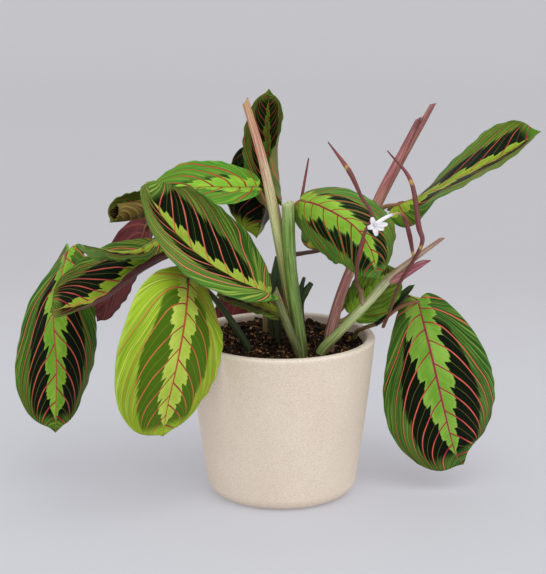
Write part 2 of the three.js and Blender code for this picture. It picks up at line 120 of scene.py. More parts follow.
# The stage, in metres and degrees
FLOOR_REACH = 9.0
SWEEP_START = 2.0
SWEEP_ROUND = 1.0
SWEEP_TOP = 4.0
WALL_SHADE = 0.75  # how far back the floor takes the backdrop's colour
LAMPS = dict(key=(55, (0.5, -0.8, 1.2)), fill=(90, (-0.8, -0.5, 1)))
SKY_COLOUR = (0.96, 0.98, 1.0, 1)
CAMERA_PLACE = (0, -1.25, 0.4587)
CAMERA_TILT = 75.98
CAMERA_TURN = 0.0049  # in radians
SENSOR_HEIGHT = 36

# Leaves, shoots and stalks in millimetres: the routes of their ribs and stems, as the frame has them.
# A fold is the angle at which a blade's half leaves the rib and a curl how far it bends on, in degrees.

LEAVES = dict(
    leaf_far_left=dict(
        rib=[[-146, -12, 175], [-151, -18, 156], [-156, -22, 131], [-155, -22, 97], [-158, -14, 45]],
        stalk=[[-58, -12, 190], [-68, -10, 187], [-78, -15, 182], [-104, -16, 174], [-128, -13, 174]],
        half=32.5, face=[-0.4, -0.8, 0.4], twist=-73, fold=[12, -46], curl=[-64, 8], skew=-0.3,
    ),
    leaf_left_folded=dict(
        rib=[[-75, -34, 178], [-97, -44, 167], [-121, -54, 153], [-140, -58, 148], [-154, -58, 144]],
        stalk=[[-50, -9, 185], [-60, -22, 185]], half=33, face=[-0.1, -0.2, 1], twist=-25, fold=[22, 22],
        curl=[46, -8],
    ),
    leaf_left_purple=dict(
        rib=[[-91, 4, 190], [-102, 8, 168], [-115, 10, 143], [-129, 6, 120]],
        stalk=[[-52, -10, 187], [-60, 4, 187], [-76, 8, 191]], half=23, face=[0.5, 0.6, -0.6], twist=-7,
        fold=[-4, -15], curl=[-17, -11],
    ),
    leaf_left_pale=dict(
        rib=[[-81, -42, 191], [-94, -48, 185], [-108, -52, 184], [-122, -52, 186], [-136, -50, 188]],
        stalk=[[-45, -8, 182], [-58, -26, 194], [-70, -36, 195]], half=14, face=[0, -0.2, 1], twist=55,
        fold=[-25, -25], curl=[0, 0], wave=1.5,
    ),
    leaf_front_large=dict(
        rib=[[-10, -28, 147], [-37, -47, 166], [-62, -62, 190], [-82, -74, 219], [-87, -72, 234]],
        stalk=[[9, -21, 130], [-1, -24, 139]], half=36.5, face=[0.1, -0.5, 0.9], twist=-45, fold=[54, 7],
        curl=[-60, 82], skew=-0.12, point=0,
    ),
    leaf_scrolled=dict(
        rib=[[-78, 6, 199], [-92, -10, 199], [-104, -28, 200], [-114, -44, 202]],
        stalk=[[-40, -6, 178], [-46, 4, 190], [-62, 10, 199]], half=25, face=[0, 0, 1], fold=[20, 20],
        curl=[250, 150], point=0.06, wave=0,
    ),
    leaf_bright_back=dict(
        rib=[[-17, -2, 217], [-38, -6, 218], [-62, -10, 218], [-89, -14, 211]],
        stalk=[[-4, -18, 196], [-6, -14, 200], [-12, -4, 208]], half=25, face=[0, -0.4, 0.9], twist=-3,
        fold=[20, 10], curl=[-26, 2],
    ),
    leaf_dark_back=dict(
        rib=[[-22, 30, 239], [-14, 32, 219], [-11, 32, 198], [-18, 28, 175]],
        stalk=[[15, 8, 90], [13, 12, 120], [4, 24, 160], [-8, 34, 205], [-18, 36, 232]],
        half=29, face=[0, -1, 0.1], fold=[-82, 0], curl=[10, 10], skew=-0.3, wave=1.2,
    ),
    leaf_upright=dict(
        rib=[[-4, 26, 202], [-8, 27, 228], [-10, 25, 249], [-9, 14, 282]],
        stalk=[[10, 0, 90], [10, 0, 105], [7, 3, 144], [2, 12, 175]], half=24, face=[0, -1, 0],
        fold=[20, 30], curl=[42, 170], curl_tip=[45, 45],
    ),
    leaf_right_middle=dict(
        rib=[[12, -16, 211], [25, -34, 211], [46, -56, 203], [58, -66, 188], [63, -63, 167]],
        stalk=[[15, -12, 90], [12, -13, 125], [8, -14, 176], [8, -15, 203]],
        half=33.5, face=[0, -0.9, 0.5], twist=-23, fold=[-18, -20], curl=[-24, -62],
    ),
    leaf_upper_right=dict(
        rib=[[79, -2, 206], [98, -4, 213], [125, -8, 228], [152, -12, 243], [173, -14, 258]],
        stalk=[[60, 6, 186], [64, 2, 196], [70, 0, 203]], half=36, face=[-0.48, 0.02, 0.87], twist=16,
        fold=[-10, -2], fold_tip=[24, 20], skew=-0.35, curl=[0, 0], lap=[-20, -60], lobe=0.1,
    ),
    leaf_under_stalk=dict(
        rib=[[48, -6, 129], [58, -8, 140], [69, -10, 152], [79, -8, 162]],
        stalk=[[36, -10, 124], [42, -9, 125]], half=18, face=[-0.3, -0.8, 0.5], fold=[0, 0],
        curl=[-10, -10], wave=1.5,
    ),
    leaf_right_hanging=dict(
        rib=[[94, -8, 138], [103, -18, 103], [110, -20, 74], [121, -12, 32], [128, -8, 20]],
        stalk=[[51, 18, 90], [52, 14, 109], [57, 4, 116], [68, -2, 122], [80, -6, 133]],
        half=41.8, face=[-0.2, -0.9, 0.3], twist=-36, fold=[6, -21], curl=[-33, -23], skew=-0.47,
        sheath=dict(
            rib=[[66, -3, 121], [75, -6, 132], [84, -9, 142], [91, -10, 151]],
            half=5, face=[-0.5, -0.8, 0.3], fold=[10, 35], curl=[30, 30], wave=0.2,
        ),
    ),
    leaf_front_light=dict(
        rib=[[-61, -67, 169], [-63, -83, 145], [-69, -87, 113], [-75, -83, 87], [-79, -75, 63]],
        stalk=[[-19, -9, 90], [-23, -11, 105], [-32, -15, 122], [-41, -20, 137], [-51, -34, 153]],
        stalk_radii=[2.6, 2.6, 2.2, 1.7], half=45, face=[0.6, -0.7, 0.3], twist=13, fold=[-16, 25],
        curl=[-14, -56], skew=0.08,
    ),
    leaf_low_small=dict(
        rib=[[-1, -16, 131], [-18, -24, 141], [-34, -32, 148], [-44, -38, 150]],
        stalk=[[10, -21, 118], [4, -17, 126]], half=16, face=[0.1, -0.4, 0.9], fold=[10, 10], curl=[0, 0],
    ),
    leaf_rear_middle=dict(
        rib=[[27, 0, 174], [38, 16, 184], [46, 36, 188], [52, 56, 182], [56, 70, 168]],
        stalk=[[8, -10, 172], [16, -5, 172]], half=30, face=[0, 0, 1], fold=[12, 12], curl=[-30, -30],
    ),
    leaf_rear_pot=dict(
        rib=[[-18, 74, 138], [-20, 92, 122], [-22, 102, 90], [-22, 104, 56], [-20, 100, 28]],
        stalk=[[-12, 22, 90], [-12, 28, 118], [-14, 42, 136], [-16, 60, 143]],
        half=34, face=[0, 0.4, 0.9], fold=[-8, -8], curl=[-30, -30],
    ),
    leaf_rear_right=dict(
        rib=[[90, 45, 130], [106, 60, 120], [118, 74, 96], [124, 80, 62]],
        stalk=[[30, 25, 90], [34, 28, 112], [52, 36, 130], [74, 40, 136]],
        half=28, face=[0.3, 0.3, 0.9], fold=[-8, -8], curl=[-30, -30],
    ),
)

SHOOTS = dict(
    shoot_tall=[
        dict(
            route=[
                [14, -21, 90], [13, -21, 104], [5, -20, 149], [-5, -18, 201], [-13, -15, 238],
                [-24, -12, 276],
            ],
            radii=[4.5, 4.5, 4, 3.2, 2.4], lip=4, look="tall", hollow=5, ragged=0.8,
        ),
        dict(
            route=[
                [14, -26, 90], [14, -26, 109], [12, -26, 123], [8, -25, 151], [5, -24, 178],
                [4, -22, 210],
            ],
            radii=[3.4, 3.8, 4.2, 4.2], lip=1.5, look="cut", hollow=7, ragged=0.5,
        ),
        dict(
            route=[[12, -26, 90], [12, -27, 106], [4, -29, 127], [-4, -31, 149]],
            radii=[3.4, 3.2, 2.6], lip=5, look="short", hollow=3, ragged=0.5,
        ),
    ],
    shoot_left=[
        dict(
            route=[
                [-2, 13, 90], [-3, 12, 100], [-8, 8, 130], [-22, 0, 160], [-45, -8, 182], [-58, -12, 190],
            ],
            radii=[4.5, 4.2, 3.6, 2.8], look="left",
        ),
    ],
    shoot_pink=[
        dict(
            route=[
                [31, -13, 90], [32, -12, 105], [36, -9, 127], [46, -2, 156], [68, 11, 206],
                [103, 20, 270],
            ],
            radii=[4, 4, 3.6, 3.2, 1.8], lip=3, look="pink", ragged=0.2,
        ),
        dict(
            route=[[46, -2, 156], [67, 11, 206], [79, 14, 230], [93, 17, 260]],
            radii=[3.4, 3.8, 3.4, 1.6], lip=4, look="sheath", ragged=0.3,
        ),
    ],
    shoot_flowering=[
        dict(
            route=[
                [24, -19, 90], [27, -21, 106], [37, -25, 119], [60, -32, 146], [75, -38, 165],
                [105, -44, 190],
            ],
            radii=[3.4, 3.4, 3, 3, 1.2], lip=3, look="flowering", ragged=0.1,
        ),
        dict(
            route=[[70, -36, 159], [78, -40, 163], [92, -43, 173], [99, -44, 176]],
            radii=[1.5, 3, 2.4, 0.4], look="bract",
        ),
    ],
)

STALKS = dict(
    bract_stalk_left=[
        dict(
            route=[
                [55, -31, 141], [53, -42, 153], [49, -62, 166], [49, -74, 182], [53, -77, 201],
                [58, -76, 213], [51, -72, 225], [43, -68, 241], [30, -54, 257],
            ],
            radii=[1.3, 1.1, 1.1, 1.1, 1.1, 1.1, 1.1, 1.8, 0.4], look="left_stalk",
        ),
    ],
    bract_thin=[
        dict(
            route=[[-1, -19, 184], [6, -9, 195], [12, -6, 205], [16, -6, 226], [18, -6, 238]],
            radii=[1.4, 1.2, 0.5], look="thin",
        ),
    ],
    flower_stalks=[
        dict(
            route=[
                [70, -10, 121], [73, -26, 135], [79, -42, 160], [92, -52, 188], [90, -50, 201],
                [85, -40, 229], [70, -28, 247],
            ],
            radii=[1.3, 1, 1.1, 1.4, 1.9, 1.5, 0.4], look="stalk",
        ),
        dict(
            route=[[87, -50, 180], [84, -54, 195], [81, -58, 205], [77, -65, 212], [71, -73, 213]],
            radii=[1, 1.7, 1.4, 0.9, 0.8], look="side_stalk",
        ),
    ],
    small_dark_shoot=[
        dict(
            route=[[16, 0, 90], [14, 2, 118], [13, 2, 134], [16, 2, 142], [20.5, 2, 149]],
            radii=[1.6, 1.8, 2, 2.2, 1.4], look="dark",
        ),
        dict(route=[[13, 2, 132], [13, 2, 143], [15.5, 2, 153]], radii=[1.7, 1.7, 0.9], look="dark"),
    ],
    small_curled_leaf=[
        dict(
            route=[[-2, -3, 90], [-3, 0, 130], [-4, 0, 152], [-4, 2, 168]],
            radii=[1.3, 1.8, 3.4, 0.6], look="dark",
        ),
    ],
)

# The flower: where it stands, the tube that bears it, and the angles and lengths of its petals
FLOWER = [59, -83, 208]
TUBE = dict(route=[[71, -73, 213], [66, -79, 212], FLOWER], radii=[1, 1.2, 1.6], sides=16)
PETALS = [(105, 6), (200, 4.5), (285, 7), (8, 9), (340, 7)]
PETAL = dict(half=1.9, face=[0, -1, 0], fold=[8, 8], curl=[20, 20], wave=0.3)


# Node trees


def arithmetic(operation, reflected=False):
    """A method of a Wire that adds one Math node. The reflected form takes the other value first."""

    def method(self, *others):
        values = (*others, self) if reflected else (self, *others)
        return self.graph.maths(operation, *values)

    return method


class Wire:
    """A value in a node tree. Arithmetic on it adds Math nodes."""

    def __init__(self, graph, socket):
        self.graph, self.socket = graph, socket

    __add__ = arithmetic("ADD")
    __radd__ = arithmetic("ADD", reflected=True)
    __sub__ = arithmetic("SUBTRACT")
    __rsub__ = arithmetic("SUBTRACT", reflected=True)
    __mul__ = arithmetic("MULTIPLY")
    __rmul__ = arithmetic("MULTIPLY", reflected=True)
    __truediv__ = arithmetic("DIVIDE")
    __abs__ = arithmetic("ABSOLUTE")
    above = arithmetic("GREATER_THAN")
    floor = arithmetic("FLOOR")
    least = arithmetic("MINIMUM")
    most = arithmetic("MAXIMUM")

    def of(self, name):
        """Another output of the same node."""
        return Wire(self.graph, self.socket.node.outputs[name])

    def rise(self, low, high):
        """0 below low and 1 above high, smooth between them; the other way round if low is the higher."""
        settings = {"interpolation_type": "SMOOTHSTEP"}
        inputs = {"Value": self, "From Min": low, "From Max": high}
        return self.graph.node("ShaderNodeMapRange", settings, inputs)


class Graph:
    """A node tree under construction."""

    def __init__(self, tree):
        self.tree = tree

    def node(self, kind, settings=None, inputs=None, out=0):
        """Adds a node of a kind: its settings first, then its sockets' values or links."""
        made = self.tree.nodes.new(kind)
        for key, value in (settings or {}).items():
            if key == "stops":
                ramp = made.color_ramp
                while len(ramp.elements) < len(value):
                    ramp.elements.new(1)
                for element, (place, colour) in zip(ramp.elements, value):
                    element.position, element.color = place, (*colour[:3], 1)
            else:
                setattr(made, key, value)
        for key, value in (inputs or {}).items():
            if isinstance(value, Wire):
                self.tree.links.new(value.socket, made.inputs[key])
            elif hasattr(value, "__len__") and len(value) == 3 and made.inputs[key].type == "RGBA":
                made.inputs[key].default_value = (*value, 1)
            else:
                made.inputs[key].default_value = value
        return Wire(self, made.outputs[out])

    def maths(self, operation, *values):
        return self.node("ShaderNodeMath", {"operation": operation}, dict(enumerate(values)))

    def vector(self, x, y, z=0.0):
        return self.node("ShaderNodeCombineXYZ", None, {"X": x, "Y": y, "Z": z})


class Finish(Graph):
    """A material: its colours and bumps, ending in one Principled shader."""

    def __init__(self, name):
        self.material = bpy.data.materials.new(name)
        self.material.use_nodes = True
        super().__init__(self.material.node_tree)
        self.tree.nodes.clear()

    def mix(self, share, a, b):
        return self.node("ShaderNodeMix", {"data_type": "RGBA"}, {0: share, 6: a, 7: b}, out=2)

    def place(self):
        return self.node("ShaderNodeTexCoord", out="Object")

    def parts(self, vector):
        return self.node("ShaderNodeSeparateXYZ", None, {"Vector": vector})

    def map(self, name="shape"):
        """Two values of the piece's own map.

        "shape" is along and across it, and "spans" how far apart the side veins are. "veins" is a side
        vein's order and its start on a blade, and the place round the stem on a stem or stalk.
        """
        parts = self.parts(self.node("ShaderNodeUVMap", {"uv_map": name}))
        return parts, parts.of("Y")

    def noise(self, vector, scale=1.0, detail=2.0, rough=0.5):
        inputs = {"Vector": vector, "Scale": scale, "Detail": detail, "Roughness": rough}
        return self.node("ShaderNodeTexNoise", None, inputs)

    def bump(self, height, distance, strength=1.0):
        inputs = {"Height": height, "Distance": distance, "Strength": strength}
        return self.node("ShaderNodeBump", None, inputs)

    def done(self, **sockets):
        named = {key.replace("_", " "): value for key, value in sockets.items()}
        shader = self.node("ShaderNodeBsdfPrincipled", None, named)
        end = self.tree.nodes.new("ShaderNodeOutputMaterial")
        self.tree.links.new(shader.socket, end.inputs["Surface"])
        return self.material


class Growth(Graph):
    """A Geometry Nodes tree with named inputs, applied to an object for its mesh."""

    def __init__(self, name):
        super().__init__(bpy.data.node_groups.new(name, "GeometryNodeTree"))
        face = self.tree.interface
        face.new_socket("Geometry", in_out="INPUT", socket_type="NodeSocketGeometry")
        face.new_socket("Geometry", in_out="OUTPUT", socket_type="NodeSocketGeometry")
        self.entry = self.tree.nodes.new("NodeGroupInput")
        self.values = {}

    def size(self, name, value, kind="NodeSocketFloat"):
        socket = self.tree.interface.new_socket(name, in_out="INPUT", socket_type=kind)
        self.values[name] = (socket.identifier, value)
        return self.start(name)

    def start(self, name="Geometry"):
        return Wire(self, self.entry.outputs[name])

    def store(self, geometry, name, value, kind):
        """Keeps a value on each point of the geometry, under a name."""
        inputs = {"Geometry": geometry, "Name": name, "Value": value}
        return self.node("GeometryNodeStoreNamedAttribute", {"data_type": kind, "domain": "POINT"}, inputs)

    def end(self, geometry, material):
        whole = self.node("GeometryNodeRealizeInstances", None, {"Geometry": geometry})
        inputs = {"Geometry": whole, "Material": material}
        dressed = self.node("GeometryNodeSetMaterial", None, inputs)
        end = self.tree.nodes.new("NodeGroupOutput")
        self.tree.links.new(dressed.socket, end.inputs["Geometry"])

    def grow(self, base):
        """The mesh that the tree makes of an object, which is then removed."""
        modifier = base.modifiers.new("growth", "NODES")
        modifier.node_group = self.tree
        for identifier, value in self.values.values():
            modifier[identifier] = value
        seen = base.evaluated_get(bpy.context.evaluated_depsgraph_get())
        mesh = bpy.data.meshes.new_from_object(seen)
        base.modifiers.remove(modifier)
        bpy.data.objects.remove(base)
        bpy.data.node_groups.remove(self.tree)
        return mesh


# Meshes


def catmull(points, count):
    """Places and directions at count + 1 even steps along the smooth curve through the points."""
    p = np.asarray(points, float)
    last = len(p) - 1
    held = np.vstack([2 * p[0] - p[1], p, 2 * p[-1] - p[-2]])
    q = np.linspace(0, last, count + 1)
    i = np.minimum(q.astype(int), last - 1)
    w = (q - i)[:, None]
    a, b, c, d = held[i], held[i + 1], held[i + 2], held[i + 3]
    m0, m1 = (c - a) / 2, (d - b) / 2
    cubic, square = 2 * b - 2 * c + m0 + m1, -3 * b + 3 * c - 2 * m0 - m1
    place = cubic * w**3 + square * w**2 + m0 * w + b
    along = 3 * cubic * w**2 + 2 * square * w + m0
    return place, unit(along)


def unit(v):
    return v / np.linalg.norm(v, axis=-1, keepdims=True)


def placed(name, data):
    """A new object in the scene, at the origin."""
    made = bpy.data.objects.new(name, data)
    bpy.context.scene.collection.objects.link(made)
    return made


class Shape:
    """Collects the surfaces of one piece, in millimetres, and makes its object."""

    def __init__(self, name):
        self.name, self.count = name, 0
        self.places, self.faces, self.maps, self.slots, self.finishes = [], [], [], [], []

    def add(self, places, faces, maps, finish):
        """Adds a surface. finish is one material, or several with the number of each face's own."""
        finishes, picks = finish if isinstance(finish, tuple) else ([finish], np.zeros(len(faces), int))
        slots = []
        for one in finishes:
            if one not in self.finishes:
                self.finishes.append(one)
            slots.append(self.finishes.index(one))
        self.faces += [[v + self.count for v in f] for f in faces]
        self.slots += [slots[k] for k in picks]
        self.places.append(np.asarray(places, float))
        maps = np.asarray(maps, float)
        self.maps.append(np.pad(maps, ((0, 0), (0, 5 - maps.shape[1]))))
        self.count += len(places)

    def add_mesh(self, mesh, finish):
        """Adds a mesh that is in metres. Its map holds the way along a stalk and the place round it."""

        def read(name, kind, width):
            values = np.zeros(len(mesh.vertices) * width)
            if name in mesh.attributes:
                mesh.attributes[name].data.foreach_get(kind, values)
            return values.reshape(-1, width)

        along, ring = read("along", "value", 1), read("ring", "vector", 3)
        ring /= np.maximum(np.linalg.norm(ring, axis=1, keepdims=True), 1e-9)
        maps = np.c_[along, np.full(len(along), 0.5), ring[:, :2]]
        faces = [list(f.vertices) for f in mesh.polygons]
        self.add(read("position", "vector", 3) / MM, faces, maps, finish)
        bpy.data.meshes.remove(mesh)

    def make(self, *nodes, slot):
        """The piece's object, with its finishes and maps, riding on the frame."""
        mesh = bpy.data.meshes.new(self.name)
        mesh.from_pydata(np.vstack(self.places) * MM, [], self.faces)
        for one in self.finishes:
            mesh.materials.append(one)
        mesh.polygons.foreach_set("material_index", np.array(self.slots, np.int32))
        mesh.shade_smooth()
        corners = np.zeros(len(mesh.loops), np.int32)
        mesh.loops.foreach_get("vertex_index", corners)
        maps = np.vstack(self.maps)[corners].astype(np.float32)
        for name, columns in dict(shape=[0, 1], veins=[2, 3], spans=[4, 4]).items():
            mesh.uv_layers.new(name=name).data.foreach_set("uv", maps[:, columns].ravel())
        mesh.update()
        piece = placed(self.name + "_fine", mesh)
        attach(piece, "root")
        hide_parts(*nodes)


def grid_faces(rows, columns, wrap=False):
    """Quads between rows + 1 and columns + 1 points, or columns points where each row closes on itself."""
    wide = columns if wrap else columns + 1
    i, j = np.meshgrid(np.arange(rows), np.arange(columns), indexing="ij")
    k = (j + 1) % wide
    quads = np.stack([i * wide + j, i * wide + k, (i + 1) * wide + k, (i + 1) * wide + j], -1)
    return quads.reshape(-1, 4)


# Leaves


def bulge(x):
    """A rounded bow: 1 in the middle and 0 at x = -1 and x = 1."""
    return np.maximum(0, 1 - np.abs(x) ** LEAF_POWER) ** (1 / LEAF_POWER)


def flat_blade(u, t, skew, lobe, tip):
    """Where points of the flat blade lie: shares of the rib's length and of the half width."""
    q = np.abs(t)
    h = (1 - tip + lobe) / 2
    middle = (1 - tip - lobe) / 2
    start = middle - h * bulge(BASE_SHARE * q) + lobe * np.maximum(0, 1 - q / 0.5) ** 2
    finish = middle + h * bulge(TIP_SHARE * q) + tip * np.maximum(0, 1 - q / 0.35) ** 2
    first = middle - h * bulge(BASE_SHARE)
    last = middle + h * bulge(TIP_SHARE)
    width = bulge((first + (last - first) * u - middle) / h)
    return start + (finish - start) * u, t * width * (1 + skew * (0.5 - u))


class Rib:
    """A leaf's rib: its places, directions and upward normals, carried along it and then twisted."""

    def __init__(self, leaf):
        self.places, self.along = catmull(leaf["rib"], RIB_STEPS)
        steps = np.linalg.norm(np.diff(self.places, axis=0), axis=1)
        self.at = np.concatenate([[0], np.cumsum(steps)])
        self.length = self.at[-1]
        normal, carried = np.array(leaf["face"], float), []
        for along in self.along:
            normal = unit(normal - along * (normal @ along))
            carried.append(normal)
        normals = np.array(carried)
        turn = np.radians(leaf.get("twist", 0)) * self.at / self.length
        sides = np.cross(self.along, normals)
        self.normals = normals * np.cos(turn)[:, None] + sides * np.sin(turn)[:, None]

    def frame(self, at):
        """Places, directions, normals and shares of the length at a distance along the rib."""
        held = np.clip(at, 0, self.length)

        def read(rows):
            return np.stack([np.interp(held, self.at, rows[:, k]) for k in range(3)], -1)

        along = unit(read(self.along))
        normal = read(self.normals)
        normal = unit(normal - along * (normal * along).sum(-1, keepdims=True))
        place = read(self.places) + along * (at - held)[..., None]
        return place, along, normal, held / self.length


def blade_surface(leaf, rib, u, t):
    """The bent blade's places for arrays u and t, with the shares that its pattern follows."""
    half = leaf["half"]
    lobe, point = leaf.get("lobe", LEAF_LOBE), leaf.get("point", LEAF_POINT)
    share, across = flat_blade(u, t, leaf.get("skew", 0), lobe, point)
    place, along, normal, held = rib.frame(share * rib.length)
    side = np.cross(normal, along)

    def pick(key):
        base = leaf[key]
        tip = leaf.get(key + "_tip", base)
        mixed = [base[k] + (tip[k] - base[k]) * held for k in (0, 1)]
        return np.where(t >= 0, mixed[0], mixed[1])

    lap = leaf.get("lap", [0, 0])
    near = np.maximum(0, 1 - held / 0.3) ** 2
    start = np.radians(pick("fold") + np.where(t >= 0, lap[0], lap[1]) * near)
    turn = np.radians(pick("curl")) / half
    turn = np.where(np.abs(turn) < 1e-6, 1e-6, turn)
    end = start + turn * np.abs(across) * half
    out = (np.sin(end) - np.sin(start)) / turn
    ripple = leaf.get("wave", LEAF_WAVE) * t * t * np.sin(6 * np.pi * u + np.where(t > 0, 0, 1.7))
    up = (np.cos(start) - np.cos(end)) / turn + ripple
    places = place + side * (out * np.sign(t))[..., None] + normal * up[..., None]
    return places, share, np.abs(across) * half


def evened(places, amount):
    """Places averaged with their neighbours along the rib, the more the further from it."""
    for _ in range(EVEN_ROUNDS):
        drawn = (places[:-2] + places[2:]) / 2 - places[1:-1]
        places[1:-1] += 0.5 * drawn * amount[1:-1, :, None]
    return places


def surface_normals(places):
    return unit(np.cross(np.gradient(places, axis=0), np.gradient(places, axis=1)))


def vein_start(share, out):
    """Where on the rib the side vein through a point begins, as a share of the rib's length.

    A vein leaves the rib, bends towards the tip and runs along the margin. The further along the rib
    it begins, the more it leans towards the tip.
    """
    low, high = np.full(share.shape, -0.9), np.ones(share.shape)
    for _ in range(VEIN_ROUNDS):
        start = (low + high) / 2
        lean = np.maximum(VEIN_LEAST, VEIN_LEAN * (start - VEIN_FIRST))
        bend = 1 - np.exp(-((np.maximum(start, 0) / VEIN_STIFF) ** 2))
        gone = np.minimum(1, lean * out + bend * out**3)
        beyond = start + (1 - start) * gone > share
        high = np.where(beyond, start, high)
        low = np.where(beyond, low, start)
    return (low + high) / 2


def vein_order(start):
    """The side veins counted along the rib, from where each begins."""
    late = VEIN_SPREAD * start + VEIN_CROWD * (1 - np.exp(-8 * np.maximum(start, 0)))
    return np.where(start > 0, late, 2.1 * start / (1 - 5 * np.minimum(start, 0)))


def vein_spans(places, order):
    """How many millimetres of the blade go to one whole step of the veins' order."""
    along, across = np.gradient(places, axis=(0, 1))
    rise, turn = np.gradient(order)
    a, b, c = (along**2).sum(-1), (along * across).sum(-1), (across**2).sum(-1)
    slope = (c * rise**2 - 2 * b * rise * turn + a * turn**2) / np.maximum(a * c - b * b, 1e-6)
    spans = 1 / np.sqrt(np.maximum(slope, 1e-5))
    rib = order.shape[1] // 2
    spans[:, rib] = spans[:, rib + 1]
    return np.clip(spans, *SPAN_RANGE)


def grow_blade(shape, leaf, look, sizes, finishes):
    """Adds a leaf's blade: both faces, quilted between the veins, with the rib standing out below."""
    rib = Rib(leaf)
    rows, columns = sizes.rows, sizes.columns
    v = np.linspace(-1, 1, columns + 1)
    v = np.sign(v) * np.abs(v) ** COLUMN_SPREAD
    u, t = np.meshgrid(np.linspace(0, 1, rows + 1), v, indexing="ij")
    middle, share, width = blade_surface(leaf, rib, u, t)
    q = np.minimum(np.abs(t), 1)
    middle = evened(middle, q)
    start = vein_start(share, q)
    order = vein_order(start)

    beat = order * look["veins"] + np.where(t > 0, 0.5, 0)
    quilt = (0.5 - 0.5 * np.cos(2 * np.pi * beat)) * np.sin(np.pi * q) ** 0.7
    ruffle = q**8 * np.sin(2 * np.pi * (RUFFLE_WAVES * u + 2 * leaf["half"])) * (0.3 + 0.7 * u)
    groove = np.exp(-((width / GROOVE_WIDTH) ** 2)) * (1 - 0.7 * u)
    raised = sizes.quilt * quilt + sizes.ruffle * ruffle - sizes.groove * groove
    middle = middle + surface_normals(middle) * raised[..., None]
    normals = surface_normals(middle)
    thick = sizes.thickness * (1 - 0.6 * q**10) / 2
    below = thick + sizes.rib * np.exp(-((width / RIB_WIDTH) ** 2)) * (1 - 0.85 * u)
    top = middle + normals * thick[..., None]
    bottom = middle - normals * below[..., None]

    places = np.vstack([top.reshape(-1, 3), bottom.reshape(-1, 3)])
    maps = np.stack([share, (t + 1) / 2, order, start, vein_spans(middle, order)], -1).reshape(-1, 5)
    off = len(maps)
    edge = rim_of(rows, columns)
    ahead = np.roll(edge, -1)
    upper = grid_faces(rows, columns)
    strip = np.stack([edge, off + edge, off + ahead, ahead], -1)
    faces = np.vstack([upper, upper[:, ::-1] + off, strip])
    picks = np.repeat([0, 1, 0], [len(upper), len(upper), len(strip)])
    shape.add(places, faces, np.vstack([maps, maps]), (finishes, picks))


def rim_of(rows, columns):
    """The points round a grid's edge, in order."""
    wide = columns + 1
    first = np.arange(columns)
    right = np.arange(rows) * wide + columns
    last = rows * wide + np.arange(columns, 0, -1)
    left = np.arange(rows, 0, -1) * wide
    return np.concatenate([first, right, last, left])


def stalk_route(leaf):
    """The stalk's own route, ending inside the base of the blade just below the rib."""
    place, _, normal, _ = Rib(leaf).frame(np.array([0.0, STALK_REACH]))
    return [*leaf["stalk"], *(place - np.array(STALK_SINK)[:, None] * normal)]


def spread_radii(radii, count):
    """Radii at even steps, from a few that are spread evenly along a stem."""
    return np.interp(np.linspace(0, len(radii) - 1, count), np.arange(len(radii)), radii)


def grow_tube(name, route, radii, material, sides):
    """A round stalk that follows a route, grown by Geometry Nodes along a curve."""
    places, _ = catmull(route, 6 * len(route))
    line = bpy.data.curves.new(name, "CURVE")
    line.dimensions = "3D"
    spline = line.splines.new("POLY")
    spline.points.add(len(places) - 1)
    spline.points.foreach_set("co", np.c_[places * MM, np.ones(len(places))].ravel())
    spline.points.foreach_set("radius", spread_radii(radii, len(places)))
    growth = Growth(name)
    width = growth.size("Unit radius", MM)
    around = growth.size("Sides", sides, "NodeSocketInt")
    share = growth.node("GeometryNodeSplineParameter", out="Factor")
    marked = growth.store(growth.start(), "along", share, "FLOAT")
    ring = growth.node("GeometryNodeCurvePrimitiveCircle", None, {"Resolution": around, "Radius": width})
    place = growth.node("GeometryNodeInputPosition")
    ring = growth.store(ring, "ring", place, "FLOAT_VECTOR")
    radius = growth.node("GeometryNodeInputRadius")
    inputs = {"Curve": marked, "Profile Curve": ring, "Scale": radius, "Fill Caps": True}
    growth.end(growth.node("GeometryNodeCurveToMesh", None, inputs), material)
    return growth.grow(placed(name, line))


# Finishes of the leaves

# A leaf's look is LEAF_LOOK with its own changes. The feather's width is a share of the half width, and
# its narrow part a share of that width. The blotches' start and reach are shares of the rib's length.
# veins is how many side veins a half has, and the other numbers are factors or shares from 0 to 1.

LEAF_LOOK = dict(
    veins=8, rib=(150, 44, 66), ground=(76, 116, 38), shade=(36, 70, 24), streak=(160, 170, 62),
    margin=(84, 126, 50), feather=(164, 188, 58), feather_core=(124, 158, 36), blotch=(8, 18, 4),
    minor=(176, 158, 76), vein_core=(166, 40, 62), vein=(236, 110, 88), feather_wide=0.35,
    feather_less=0.0, feather_narrow=0.62, feather_taper=1.35, feather_step=0.66, blotch_end=0.25,
    blotch_from=0.05, island=0.0, tip=0.0, vein_width=1.0, under=(86, 28, 34), under_light=(122, 48, 48),
    under_vein=(150, 72, 60),
)
LIGHT = dict(
    ground=(162, 192, 46), shade=(120, 158, 28), streak=(206, 216, 96), margin=(184, 206, 66),
    feather=(198, 216, 92), feather_core=(166, 196, 62), blotch=(52, 84, 16), blotch_end=0.2,
    vein=(214, 120, 74), under=(140, 160, 90), under_light=(160, 176, 108),
)
